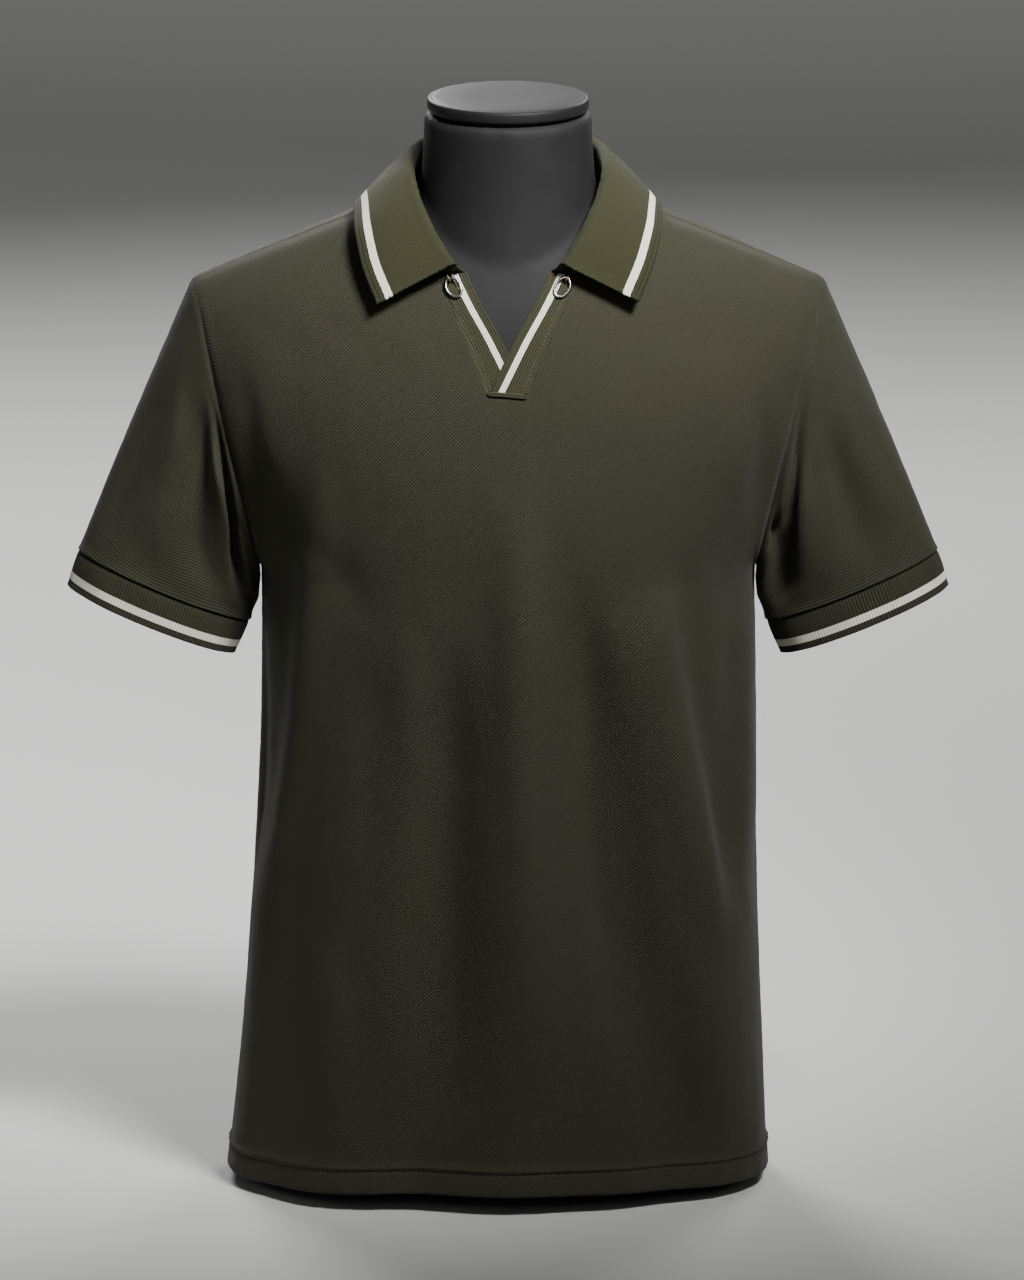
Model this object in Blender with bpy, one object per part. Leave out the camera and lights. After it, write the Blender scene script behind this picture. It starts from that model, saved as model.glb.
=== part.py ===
"""Polo shirt on a limbless dress form. Metres, +Z up, the front faces -Y, and Z is 0 at the form's flat base.
Left and right are the wearer's: the left side lies at +X."""

import math

import bmesh
import bpy
import numpy as np
from mathutils import Matrix, Vector

# ---------------------------------------------------------------- driving sizes
PIQUE = 0.0013
HEM_PIQUE = 0.0021
RIB = 0.0018
BAND = 0.0014
SEAM_GAP = 0.0003

HEM_HEIGHT = 0.019
HEM_STEP = 0.0015
HEM_LIFT_FRONT = 0.006
HALF_COLUMNS = 10
FRONT_CENTRE_CELLS = 3
BACK_CENTRE_CELLS = 7
SLEEVE_ROWS = 12
COLLAR_STAND_CELLS = 3
COLLAR_LEAF_CELLS = 6

# Sections of the shirt's body, hem to shoulder seam. s is 1 at the armpit and 2 at the shoulder seam.
# The centre heights and depths are those of the front and the back; edge_x, edge_*_y and edge_z are the
# side seam below the armpit and the armhole above it. shift moves a section sideways.
BODY_COLUMNS = (
    "s", "front_z", "front_depth", "back_z", "back_depth",
    "edge_x", "edge_front_y", "edge_back_y", "edge_z", "roundness", "shift",
)
BODY_SECTIONS = (
    (0.00, 0.0090, 0.132, 0.0090, 0.128, 0.2000, 0.000, 0.000, 0.0090, 2.30, -0.0078),
    (0.25, 0.1200, 0.131, 0.1200, 0.126, 0.1915, 0.000, 0.000, 0.1200, 2.30, -0.0045),
    (0.50, 0.2400, 0.130, 0.2400, 0.122, 0.1850, 0.000, 0.000, 0.2400, 2.25, -0.0020),
    (0.75, 0.3600, 0.131, 0.3600, 0.119, 0.1815, 0.000, 0.000, 0.3600, 2.20, 0.0000),
    (0.90, 0.4200, 0.132, 0.4200, 0.118, 0.1808, 0.000, 0.000, 0.4200, 2.20, 0.0000),
    (1.00, 0.4600, 0.132, 0.4600, 0.118, 0.1815, 0.000, 0.000, 0.4600, 2.20, 0.0000),
    (1.05, 0.4760, 0.132, 0.4765, 0.118, 0.1825, -0.022, 0.020, 0.4650, 2.20, 0.0000),
    (1.10, 0.4920, 0.132, 0.4930, 0.118, 0.1850, -0.034, 0.030, 0.4770, 2.20, 0.0000),
    (1.20, 0.5240, 0.131, 0.5260, 0.118, 0.1915, -0.046, 0.041, 0.5070, 2.20, 0.0000),
    (1.40, 0.5850, 0.125, 0.5950, 0.117, 0.2040, -0.056, 0.052, 0.5610, 2.20, 0.0000),
    (1.60, 0.6400, 0.111, 0.6560, 0.110, 0.2145, -0.052, 0.050, 0.6080, 2.10, 0.0000),
    (1.80, 0.6920, 0.086, 0.7140, 0.089, 0.2235, -0.036, 0.035, 0.6480, 1.95, 0.0000),
    (1.90, 0.7380, 0.049, 0.7480, 0.051, 0.2275, -0.020, 0.020, 0.6650, 1.90, 0.0000),
    (1.95, 0.7580, 0.025, 0.7600, 0.026, 0.2290, -0.010, 0.010, 0.6715, 1.85, 0.0000),
    (2.00, 0.7650, 0.000, 0.7650, 0.000, 0.2300, 0.000, 0.000, 0.6740, 1.80, 0.0000),
)
LOWER_STEPS = (0.12, 0.20, 0.29, 0.38, 0.47, 0.56, 0.65, 0.74, 0.83, 0.92)
UPPER_STEPS = (
    1.00, 1.05, 1.10, 1.17, 1.24, 1.32, 1.40, 1.48, 1.56, 1.64, 1.72, 1.80, 1.86, 1.91, 1.96, 2.00,
)
V_BOTTOM = 1.48
NECK_CORNER = 1.80
BACK_NECK_BOTTOM = 1.86

# Half width of the neck opening in the front and in the back panel, by section.
FRONT_OPENING = (
    (V_BOTTOM, 0.0146), (NECK_CORNER, 0.0500), (1.86, 0.0600), (1.91, 0.0680), (1.96, 0.0745), (2.00, 0.0780),
)
BACK_OPENING = ((BACK_NECK_BOTTOM, 0.0440), (1.91, 0.0620), (1.96, 0.0730), (2.00, 0.0780))

# Soft folds of the body. ring runs from -1 at the right side seam over 0 at the centre front and 1 at
# the left side seam to 2 at the centre back; a positive height is a ridge.
FOLD_COLUMNS = ("ring_low", "z_low", "ring_high", "z_high", "half_width", "height")
BODY_FOLDS = (
    (0.06, -0.10, 0.02, 0.640, 0.16, 0.0060),
    (-0.30, -0.05, -0.34, 0.420, 0.13, -0.0070),
    (0.68, -0.05, 0.46, 0.440, 0.13, -0.0075),
    (0.86, 0.04, 0.72, 0.430, 0.10, 0.0050),
    (-0.62, -0.10, -0.58, 0.400, 0.16, 0.0050),
    (-0.86, -0.05, -0.82, 0.440, 0.09, -0.0040),
    (-0.88, 0.42, -0.93, 0.580, 0.06, -0.0040),
    (0.90, 0.42, 0.93, 0.580, 0.06, -0.0035),
    (1.42, -0.08, 1.52, 0.480, 0.14, 0.0055),
    (1.72, -0.05, 1.74, 0.420, 0.12, -0.0060),
    (2.02, -0.10, 1.98, 0.520, 0.15, 0.0050),
    (2.34, -0.05, 2.28, 0.460, 0.12, -0.0060),
    (2.64, -0.08, 2.54, 0.500, 0.14, 0.0050),
)

# Sleeve ends, for the left side. The cuff opens at CUFF_END and is sewn on at CUFF_SEAM.
CUFF_SEAM_OUTER = Vector((0.3145, 0.0, 0.4720))
CUFF_SEAM_INNER = Vector((0.1895, 0.0, 0.4200))
CUFF_END_OUTER = Vector((0.3230, 0.0, 0.4450))
CUFF_END_INNER = Vector((0.2010, 0.0, 0.3950))
CUFF_HALF_DEPTH = 0.0420
CUFF_ROWS = 3
# The sleeve leaves the armhole in this direction, and less stiffly at the underarm than at the shoulder.
SLEEVE_START = (0.40, 0.0, -0.917)
SLEEVE_REACH_TOP = 0.80
SLEEVE_REACH_UNDER = 0.60
SLEEVE_FOLD_COLUMNS = ("turn", "turn_drift", "from_row", "to_row", "half_width", "height")
SLEEVE_FOLDS = (
    (0.17, 0.03, 0.10, 1.00, 0.050, -0.0050),
    (0.27, 0.00, 0.15, 1.00, 0.055, 0.0050),
    (0.38, -0.02, 0.05, 0.85, 0.055, -0.0075),
    (0.62, 0.02, 0.05, 0.85, 0.055, -0.0060),
    (0.78, 0.00, 0.15, 1.00, 0.060, 0.0045),
    (0.90, -0.02, 0.20, 1.00, 0.050, -0.0035),
)

# The collar, for the left half, from its front end (0) to the centre back (1).
COLLAR_COLUMNS = ("turn", "fold_x", "fold_y", "fold_z", "edge_x", "edge_y", "edge_z")
COLLAR_SECTIONS = (
    (0.00, 0.0405, -0.0950, 0.6975, 0.0945, -0.1010, 0.6690),
    (0.18, 0.0560, -0.0760, 0.7210, 0.1060, -0.0800, 0.6985),
    (0.36, 0.0670, -0.0480, 0.7420, 0.1105, -0.0530, 0.7180),
    (0.52, 0.0715, -0.0160, 0.7580, 0.1110, -0.0150, 0.7275),
    (0.66, 0.0690, 0.0150, 0.7660, 0.1040, 0.0240, 0.7265),
    (0.82, 0.0480, 0.0480, 0.7710, 0.0740, 0.0640, 0.7250),
    (1.00, 0.0000, 0.0640, 0.7730, 0.0000, 0.0840, 0.7245),
)
FOLD_RADIUS = 0.0022
LEAF_RISE = 0.0022
LEAF_BULGE = 0.0012
COLLAR_LIFT = 0.0007
# The collar starts on the bands, at these shares of their width from the front's edge.
COLLAR_ON_BAND = (0.92, 0.50)

# Placket bands. The left one laps over the right one, which sinks by BAND_LAP up to LAP_END of its height,
# and is free of it above that. At the V's bottom the left band closes the opening.
BAND_STATIONS = (0.0, 0.08, 0.30, 0.52, 0.76, 1.0)
BAND_TOP_WIDTH = 0.0200
BAND_BOTTOM_WIDTH = 0.0285
BAND_LAP = 0.0021
LAP_END = 0.80
LAP_FADE = 3.0
BAND_FOOT_CLEAR = 0.0022
BAND_FOOT_RIGHT = 0.0200

# Steel rings in thread loops under the collar's front ends, lying against the placket bands.
RING_HALF_WIDTH = 0.0050
RING_HALF_HEIGHT = 0.0076
RING_WIRE = 0.0018
RING_TURN = math.radians(26.0)
RING_LEAN = math.radians(6.0)
LOOP_RADIUS = 0.0023
LOOP_THREAD = 0.0014
LOOP_SECTION = 1.787
LOOP_X = 0.0425

# Dress form: the body's sections drawn in by clear, which counts from the cloth's inner face.
FORM_CLEARANCE = (
    (0.00, 0.050), (0.25, 0.036), (0.50, 0.024), (0.75, 0.015), (1.00, 0.008), (1.20, 0.0050),
    (1.40, 0.0045), (1.60, 0.0032), (1.72, 0.0016), (1.80, 0.0010), (2.00, 0.0008),
)
FORM_STEPS = (0.0, 0.12, 0.25, 0.38, 0.50, 0.62, 0.75, 0.88) + UPPER_STEPS
FORM_HALF_CELLS = 24
RIDGE_MITRE = 1.15
BASE_ROUND = 0.018
NECK_CENTRE_Y = -0.0120
NECK_TILT = math.radians(3.5)
NECK_TILT_Z = 0.74
NECK_PROFILE = (
    (0.0000, 0.6600), (0.0770, 0.6600), (0.0755, 0.6850), (0.0725, 0.7000), (0.0690, 0.7160),
    (0.0655, 0.7350), (0.0630, 0.7550), (0.0616, 0.7750), (0.0610, 0.7980), (0.0000, 0.7980),
)
CAP_PROFILE = (
    (0.0000, 0.7983), (0.0560, 0.7983), (0.0560, 0.8000), (0.0584, 0.8008), (0.0588, 0.8030),
    (0.0586, 0.8070), (0.0570, 0.8088), (0.0520, 0.8095), (0.0000, 0.8095),
)
NECK_SIDES = 40

# Angle between faces, beyond which an edge is shown sharp.
SHARP = math.radians(40.0)


# ---------------------------------------------------------------- small tools
def clear_scene():
    for thing in list(bpy.data.objects):
        bpy.data.objects.remove(thing, do_unlink=True)


def make_material(name, colour, roughness, metallic=0.0):
    made = bpy.data.materials.new(name)
    made.use_nodes = True
    shader = made.node_tree.nodes["Principled BSDF"]
    shader.inputs["Base Color"].default_value = (*colour, 1.0)
    shader.inputs["Roughness"].default_value = roughness
    shader.inputs["Metallic"].default_value = metallic
    return made


def smooth_between(stations, values, at):
    """Cubic through the values that never passes beyond its neighbours."""
    secants = np.diff(values) / np.diff(stations)
    before, after = secants[:-1], secants[1:]
    same = before * after > 0.0
    middle = np.where(same, 2.0 * before * after / np.where(same, before + after, 1.0), 0.0)
    slopes = np.concatenate([secants[:1], middle, secants[-1:]])
    index = int(np.clip(np.searchsorted(stations, at) - 1, 0, len(stations) - 2))
    step = stations[index + 1] - stations[index]
    t = (at - stations[index]) / step
    return (
        (2 * t**3 - 3 * t**2 + 1) * values[index]
        + (t**3 - 2 * t**2 + t) * step * slopes[index]
        + (3 * t**2 - 2 * t**3) * values[index + 1]
        + (t**3 - t**2) * step * slopes[index + 1]
    )


def read_table(columns, rows, at):
    """The table's row at this place in its first column, by column name."""
    table = np.array(rows)
    return {name: smooth_between(table[:, 0], table[:, i], at) for i, name in enumerate(columns)}


def read_pairs(pairs, at):
    return float(np.interp(at, [pair[0] for pair in pairs], [pair[1] for pair in pairs]))


def resample(points, cells):
    """Points spaced evenly along a fine polyline."""
    lengths = np.concatenate([[0.0], np.cumsum(np.linalg.norm(np.diff(points, axis=0), axis=1))])
    wanted = np.linspace(0.0, lengths[-1], cells + 1)
    return np.stack([np.interp(wanted, lengths, points[:, i]) for i in range(3)], axis=1)


# ---------------------------------------------------------------- the body's surface
def body_point(s, side, w):
    """Outer face of the cloth. side is -1 in front and 1 behind; w runs from the centre, 0, to the edge, 1."""
    row = read_table(BODY_COLUMNS, BODY_SECTIONS, s)
    edge_y = row["edge_front_y"] if side < 0 else row["edge_back_y"]
    depth = row["front_depth"] if side < 0 else row["back_depth"]
    centre_z = row["front_z"] if side < 0 else row["back_z"]
    along = np.abs(w)
    round_by = row["roundness"]
    cut = 1.0 - (abs(edge_y) / max(depth, 1e-6)) ** round_by
    fall = along ** (1.0 + 0.8 * min(1.0, (2.0 - s) * 4.0))
    y = side * depth * np.maximum(1.0 - cut * along**round_by, 0.0) ** (1.0 / round_by)
    z = centre_z + (row["edge_z"] - centre_z) * fall
    if side < 0 and s < 1.0:
        z = z + HEM_LIFT_FRONT * (1.0 - s) ** 4 * (1.0 - along**2)
    return np.stack([row["shift"] + row["edge_x"] * w, y, z], axis=-1)


def folded(points, side, s):
    """The points of a row with the body's folds pushed into them."""
    row = read_table(BODY_COLUMNS, BODY_SECTIONS, s)
    moved = []
    for point in points:
        w = (point[0] - row["shift"]) / row["edge_x"]
        out = np.array([point[0] * 0.6, point[1], 0.0])
        ring = w if side < 0 else 2.0 - w
        moved.append(point + out / max(np.linalg.norm(out), 1e-9) * fold_height(ring, point[2]))
    return np.array(moved)


def opening_at(side, s):
    pairs = FRONT_OPENING if side < 0 else BACK_OPENING
    return read_pairs(pairs, s)


def panel_row(s, side, half_columns, centre_cells):
    """One row of a panel, right side to left side, with the centre cells across the neck opening."""
    edge_x = read_table(BODY_COLUMNS, BODY_SECTIONS, s)["edge_x"]
    inner = opening_at(side, s) / edge_x
    fine = 1.0 - (1.0 - np.linspace(0.0, 1.0, 400)) ** 2
    left = resample(body_point(s, side, inner + (1.0 - inner) * fine), half_columns)
    right = resample(body_point(s, side, -inner - (1.0 - inner) * fine), half_columns)
    middle = body_point(s, side, np.linspace(-inner, inner, centre_cells + 1))
    return np.concatenate([right[::-1], middle[1:-1], left])


def fold_height(ring, z):
    """How far the folds push the cloth out at this place round the body."""
    total = 0.0
    for row in BODY_FOLDS:
        fold = dict(zip(FOLD_COLUMNS, row))
        t = (z - fold["z_low"]) / (fold["z_high"] - fold["z_low"])
        if t <= 0.0 or t >= 1.0:
            continue
        centre = fold["ring_low"] + t * (fold["ring_high"] - fold["ring_low"])
        away = (ring - centre + 2.0) % 4.0 - 2.0
        fade = min(1.0, 3.0 * (1.0 - t)) * min(1.0, 6.0 * t)
        share = fade * fade * (3.0 - 2.0 * fade)
        total += fold["height"] * share * math.exp(-((away / fold["half_width"]) ** 2))
    return total


# ---------------------------------------------------------------- walls
def grid_faces(rows, columns, closed=False, keep=None):
    """Quads of a grid of points, each as four point numbers, where keep allows one."""
    faces = []
    for r in range(rows - 1):
        for c in range(columns if closed else columns - 1):
            if keep is None or keep(r, c):
                d = (c + 1) % columns
                faces.append((r * columns + c, r * columns + d, (r + 1) * columns + d, (r + 1) * columns + c))
    return faces


def point_key(point):
    return tuple(int(round(value * 1e6)) for value in point)


def gather_normals(panels):
    """Normals shared by all panels that meet at a point, so that their walls meet edge to edge."""
    sums = {}
    for points, faces in panels:
        for face in faces:
            corners = points[list(face)]
            normal = np.cross(corners[2] - corners[0], corners[3] - corners[1])
            size = np.linalg.norm(normal)
            if size < 1e-14:
                continue
            for index in face:
                key = point_key(points[index])
                sums[key] = sums.get(key, np.zeros(3)) + normal / math.sqrt(size)
    return {key: value / np.linalg.norm(value) for key, value in sums.items()}


def draw_in_border(bm, distance):
    """Moves the border of an open sheet inwards along the sheet."""
    moves = {}
    for edge in bm.edges:
        if not edge.is_boundary:
            continue
        face = edge.link_faces[0]
        along = (edge.verts[1].co - edge.verts[0].co).normalized()
        inward = face.calc_center_median() - edge.verts[0].co
        inward = (inward - along * inward.dot(along)).normalized()
        for vert in edge.verts:
            moves.setdefault(vert, []).append(inward)
    for vert, pulls in moves.items():
        total = sum(pulls, Vector())
        share = max(0.35, 1.0 + pulls[0].dot(pulls[-1])) if len(pulls) == 2 else 1.0
        vert.co += total * (distance / share)


def add_object(name, bm, finish):
    mesh = bpy.data.meshes.new(name)
    bm.to_mesh(mesh)
    bm.free()
    made = bpy.data.objects.new(name, mesh)
    bpy.context.scene.collection.objects.link(made)
    mesh.materials.append(finish)
    mesh.shade_smooth()
    mesh.set_sharp_from_angle(angle=SHARP)
    return made


def cloth_wall(name, points, faces, normals, thickness, finish, gap=SEAM_GAP):
    """A closed wall of cloth: the outer face through the points, the inner one moved in along the normals."""
    bm = bmesh.new()
    verts = [bm.verts.new(point) for point in points]
    used = set()
    for face in faces:
        bm.faces.new([verts[i] for i in face])
        used.update(face)
    inward = {verts[i]: Vector(-normals[i] * thickness[i]) for i in used}
    keys = {verts[i]: point_key(points[i]) for i in used}
    for index, vert in enumerate(verts):
        if index not in used:
            bm.verts.remove(vert)
    bm.normal_update()
    draw_in_border(bm, gap / 2.0)
    places = {vert: vert.co.copy() for vert in inward}
    outer = list(bm.faces)
    bm.verts.index_update()
    order = list(bm.verts)
    twins = bmesh.ops.duplicate(bm, geom=list(bm.verts) + list(bm.edges) + outer)["vert_map"]
    for vert in order:
        twin = twins[vert]
        twin.co = places[vert] + inward[vert]
    inner = [face for face in bm.faces if face not in set(outer)]
    bmesh.ops.reverse_faces(bm, faces=inner)
    border = [edge for edge in bm.edges if edge.is_boundary and edge.verts[0] in inward]
    for edge in border:
        a, b = edge.link_loops[0].vert, edge.link_loops[0].link_loop_next.vert
        if keys[a] < keys[b]:
            bm.faces.new((b, a, twins[b]))
            bm.faces.new((a, twins[a], twins[b]))
        else:
            bm.faces.new((b, a, twins[a]))
            bm.faces.new((b, twins[a], twins[b]))
    return add_object(name, bm, finish)


# ---------------------------------------------------------------- shirt panels
def panel(side):
    """Points and faces of the front (-1) or the back (1)."""
    cells = FRONT_CENTRE_CELLS if side < 0 else BACK_CENTRE_CELLS
    notch = V_BOTTOM if side < 0 else BACK_NECK_BOTTOM
    steps = (0.0, HEM_HEIGHT, HEM_HEIGHT + HEM_STEP)
    rise = BODY_SECTIONS[1][1] - BODY_SECTIONS[0][1]
    hem = [step / rise * BODY_SECTIONS[1][0] for step in steps]
    s_values = hem + list(LOWER_STEPS + UPPER_STEPS)
    rows = [folded(panel_row(s, side, HALF_COLUMNS, cells), side, s) for s in s_values]
    columns = len(rows[0])
    points = np.concatenate(rows)
    edge = HALF_COLUMNS
    first_open = next(i for i, s in enumerate(s_values) if s >= notch - 1e-6)

    def keep(r, c):
        return not (r >= first_open and edge <= c < edge + cells)

    faces = grid_faces(len(rows), columns, keep=keep)
    if side > 0:
        faces = [face[::-1] for face in faces]
    return {"points": points, "faces": faces, "s": s_values, "columns": columns, "cells": cells}


def border_column(data, column, from_s):
    """Points of one column of a panel, from section from_s upwards."""
    return [
        data["points"][r * data["columns"] + column]
        for r, s in enumerate(data["s"])
        if s >= from_s - 1e-6
    ]


def armhole(front, back, mirror):
    """The armhole's points: from the shoulder down the front, and up the back again."""
    column = 0 if mirror < 0 else front["columns"] - 1
    other = 0 if mirror < 0 else back["columns"] - 1
    down = border_column(front, column, 1.0)[::-1]
    up = border_column(back, other, 1.0)
    return np.array(down + up[1:-1])


def sleeve_grid(ring, mirror):
    """Rows of the sleeve from the armhole to the cuff's seam."""
    count = len(ring)
    axis_end = (CUFF_END_OUTER + CUFF_END_INNER - CUFF_SEAM_OUTER - CUFF_SEAM_INNER).normalized()
    start_direction = np.array(SLEEVE_START) * np.array([mirror, 1.0, 1.0])
    end_direction = np.array([axis_end.x * mirror, 0.0, axis_end.z])
    turns = turns_of(ring)
    cuff = cuff_ring(CUFF_SEAM_OUTER, CUFF_SEAM_INNER, CUFF_HALF_DEPTH, turns, mirror)
    rows = []
    for r in range(SLEEVE_ROWS + 1):
        t = r / SLEEVE_ROWS
        row = []
        for k in range(count):
            under = 0.5 - 0.5 * math.cos(2.0 * math.pi * turns[k])
            length = np.linalg.norm(cuff[k] - ring[k])
            reach = length * (SLEEVE_REACH_TOP + (SLEEVE_REACH_UNDER - SLEEVE_REACH_TOP) * under)
            h0 = 2 * t**3 - 3 * t**2 + 1
            h1 = t**3 - 2 * t**2 + t
            h2 = 3 * t**2 - 2 * t**3
            h3 = t**3 - t**2
            row.append(h0 * ring[k] + h1 * reach * start_direction + h2 * cuff[k] + h3 * length * end_direction)
        rows.append(np.array(row))
    return rows


def turns_of(ring):
    """Where each point of the armhole lies round it: 0 at the shoulder, a quarter in front, a half below."""
    closed = np.concatenate([ring, ring[:1]])
    lengths = np.concatenate([[0.0], np.cumsum(np.linalg.norm(np.diff(closed, axis=0), axis=1))])
    low = int(np.argmin(ring[:, 2]))
    front = lengths[: low + 1] / lengths[low] * 0.5
    back = 0.5 + (lengths[low + 1 : -1] - lengths[low]) / (lengths[-1] - lengths[low]) * 0.5
    return np.concatenate([front, back])


def cuff_ring(outer, inner, half_depth, turns, mirror):
    middle = (outer + inner) / 2.0
    half = (outer - inner) / 2.0
    points = []
    for turn in turns:
        angle = 2.0 * math.pi * turn
        point = middle + half * math.cos(angle) + Vector((0.0, -half_depth, 0.0)) * math.sin(angle)
        points.append((point.x * mirror, point.y, point.z))
    return np.array(points)


def fold_sleeve(rows, turns, mirror):
    """Pushes the sleeve's folds in and out, away from its own middle line."""
    last = len(rows) - 1
    for r, row in enumerate(rows):
        t = r / last
        middle = row.mean(axis=0)
        for k, turn in enumerate(turns):
            amount = 0.0
            for values in SLEEVE_FOLDS:
                fold = dict(zip(SLEEVE_FOLD_COLUMNS, values))
                span = (t - fold["from_row"]) / (fold["to_row"] - fold["from_row"])
                if span <= 0.0 or span >= 1.0:
                    continue
                away = (turn - fold["turn"] - fold["turn_drift"] * span + 0.5) % 1.0 - 0.5
                push = math.sin(math.pi * span) * math.exp(-((away / fold["half_width"]) ** 2))
                amount += fold["height"] * push
            out = row[k] - middle
            row[k] = row[k] + out / np.linalg.norm(out) * amount
    return rows


def sleeve(front, back, mirror):
    ring = armhole(front, back, mirror)
    rows = fold_sleeve(sleeve_grid(ring, mirror), turns_of(ring), mirror)
    count = len(ring)
    faces = grid_faces(len(rows), count, closed=True)
    if mirror < 0:
        faces = [face[::-1] for face in faces]
    return {"points": np.concatenate(rows), "faces": faces, "count": count, "turns": turns_of(ring)}


def cuff(turns, mirror):
    rows = []
    for r in range(CUFF_ROWS + 1):
        t = r / CUFF_ROWS
        outer = CUFF_SEAM_OUTER.lerp(CUFF_END_OUTER, t)
        inner = CUFF_SEAM_INNER.lerp(CUFF_END_INNER, t)
        rows.append(cuff_ring(outer, inner, CUFF_HALF_DEPTH, turns, mirror))
    faces = grid_faces(len(rows), len(turns), closed=True)
    if mirror < 0:
        faces = [face[::-1] for face in faces]
    return {"points": np.concatenate(rows), "faces": faces}


# ---------------------------------------------------------------- collar
def collar_base(front, back):
    """Points where the collar is sewn on, from the right front end round the back to the left one."""
    inner_right = HALF_COLUMNS
    inner_left = HALF_COLUMNS + FRONT_CENTRE_CELLS
    right = border_column(front, inner_right, NECK_CORNER)
    left = border_column(front, inner_left, NECK_CORNER)
    back_right = border_column(back, HALF_COLUMNS, BACK_NECK_BOTTOM)
    back_left = border_column(back, HALF_COLUMNS + BACK_CENTRE_CELLS, BACK_NECK_BOTTOM)
    row = next(i for i, s in enumerate(back["s"]) if s >= BACK_NECK_BOTTOM - 1e-6)
    start = row * back["columns"] + HALF_COLUMNS
    bottom = [back["points"][start + i] for i in range(1, BACK_CENTRE_CELLS)]
    path = right + back_right[::-1][1:] + bottom + back_left + left[::-1][1:]
    ends = []
    for mirror in (-1.0, 1.0):
        s = NECK_CORNER
        edge_x = read_table(BODY_COLUMNS, BODY_SECTIONS, s)["edge_x"]
        w = mirror * (opening_at(-1, s) - BAND_TOP_WIDTH * np.array(COLLAR_ON_BAND)) / edge_x
        ends.append(body_point(s, -1, w))
    return np.array(list(ends[0]) + path + list(ends[1][::-1]))


def collar(front, back):
    """The stand, from where it is sewn on up to the fold, and the leaf, from the fold down to its edge."""
    base = collar_base(front, back)
    lengths = np.concatenate([[0.0], np.cumsum(np.linalg.norm(np.diff(base, axis=0), axis=1))])
    up = np.array([0.0, 0.0, 1.0])
    rows = []
    for point, length in zip(base, lengths):
        along = length / lengths[-1]
        mirror = -1.0 if along < 0.5 else 1.0
        turn = 2.0 * min(along, 1.0 - along)
        row = read_table(COLLAR_COLUMNS, COLLAR_SECTIONS, turn)
        fold = np.array([mirror * row["fold_x"], row["fold_y"], row["fold_z"]])
        edge = np.array([mirror * row["edge_x"], row["edge_y"], row["edge_z"]])
        out = edge - fold
        out[2] = 0.0
        out = out / np.linalg.norm(out)
        foot = point + up * COLLAR_LIFT
        top = fold - out * FOLD_RADIUS - up * FOLD_RADIUS
        section = [foot + (top - foot) * i / COLLAR_STAND_CELLS for i in range(COLLAR_STAND_CELLS + 1)]
        section.append(fold)
        start = fold + out * FOLD_RADIUS - up * FOLD_RADIUS
        for i in range(COLLAR_LEAF_CELLS + 1):
            t = i / COLLAR_LEAF_CELLS
            swell = (up * LEAF_RISE + out * LEAF_BULGE) * math.sin(math.pi * t)
            section.append(start + (edge - start) * t + swell)
        rows.append(np.array(section))
    points = np.concatenate(rows)
    faces = grid_faces(len(rows), len(rows[0]))
    return {"points": points, "faces": faces, "columns": len(rows[0])}


# ---------------------------------------------------------------- placket bands
def placket(front, mirror):
    """A band from the V's edge inwards."""
    rows = []
    levels = [s for s in front["s"] if V_BOTTOM - 1e-6 <= s <= NECK_CORNER + 1e-6]
    for s in levels:
        edge_x = read_table(BODY_COLUMNS, BODY_SECTIONS, s)["edge_x"]
        up = (s - V_BOTTOM) / (NECK_CORNER - V_BOTTOM)
        width = BAND_BOTTOM_WIDTH + (BAND_TOP_WIDTH - BAND_BOTTOM_WIDTH) * up
        if s <= V_BOTTOM + 1e-6:
            width = 2.0 * opening_at(-1, s) - BAND_FOOT_CLEAR if mirror > 0 else BAND_FOOT_RIGHT
        start = opening_at(-1, s)
        row = []
        for t in BAND_STATIONS:
            w = (start - width * t) / edge_x
            point = folded(body_point(s, -1, mirror * np.array([w])), -1, s)[0]
            if mirror < 0:
                under = min(1.0, max(0.0, (LAP_END - up) * LAP_FADE))
                point = point + np.array([0.0, BAND_LAP * min(1.0, t / BAND_STATIONS[1]) * under, 0.0])
            row.append(point)
        rows.append(np.array(row))
    points = np.concatenate(rows)
    faces = grid_faces(len(rows), len(BAND_STATIONS))
    if mirror > 0:
        faces = [face[::-1] for face in faces]
    return {"points": points, "faces": faces}


# ---------------------------------------------------------------- rings and loops
def oval_tube(name, centre, half_u, half_v, u, v, wire, segments, sides, finish):
    """A closed oval of round wire, in the plane of u and v."""
    across = u.cross(v).normalized()
    bm = bmesh.new()
    rings = []
    for i in range(segments):
        angle = 2.0 * math.pi * i / segments
        middle = centre + u * half_u * math.cos(angle) + v * half_v * math.sin(angle)
        tangent = (-u * half_u * math.sin(angle) + v * half_v * math.cos(angle)).normalized()
        side = tangent.cross(across).normalized()
        ring = []
        for j in range(sides):
            turn = 2.0 * math.pi * j / sides
            ring.append(bm.verts.new(middle + (side * math.cos(turn) + across * math.sin(turn)) * wire / 2.0))
        rings.append(ring)
    for i in range(segments):
        here, there = rings[i], rings[(i + 1) % segments]
        for j in range(sides):
            k = (j + 1) % sides
            bm.faces.new((here[j], here[k], there[k], there[j]))
    bmesh.ops.recalc_face_normals(bm, faces=bm.faces)
    return add_object(name, bm, finish)


def cloth_frame(s, x):
    """A place on the front's outer face, with the face's normal and its downward direction."""
    edge_x = read_table(BODY_COLUMNS, BODY_SECTIONS, s)["edge_x"]
    here = Vector(body_point(s, -1, np.array([x / edge_x]))[0])
    below = Vector(body_point(s - 0.01, -1, np.array([x / edge_x]))[0])
    beside = Vector(body_point(s, -1, np.array([(x + 0.001) / edge_x]))[0])
    down = (below - here).normalized()
    normal = down.cross(here - beside).normalized()
    return here, normal * (1.0 if normal.y < 0.0 else -1.0), down


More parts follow.
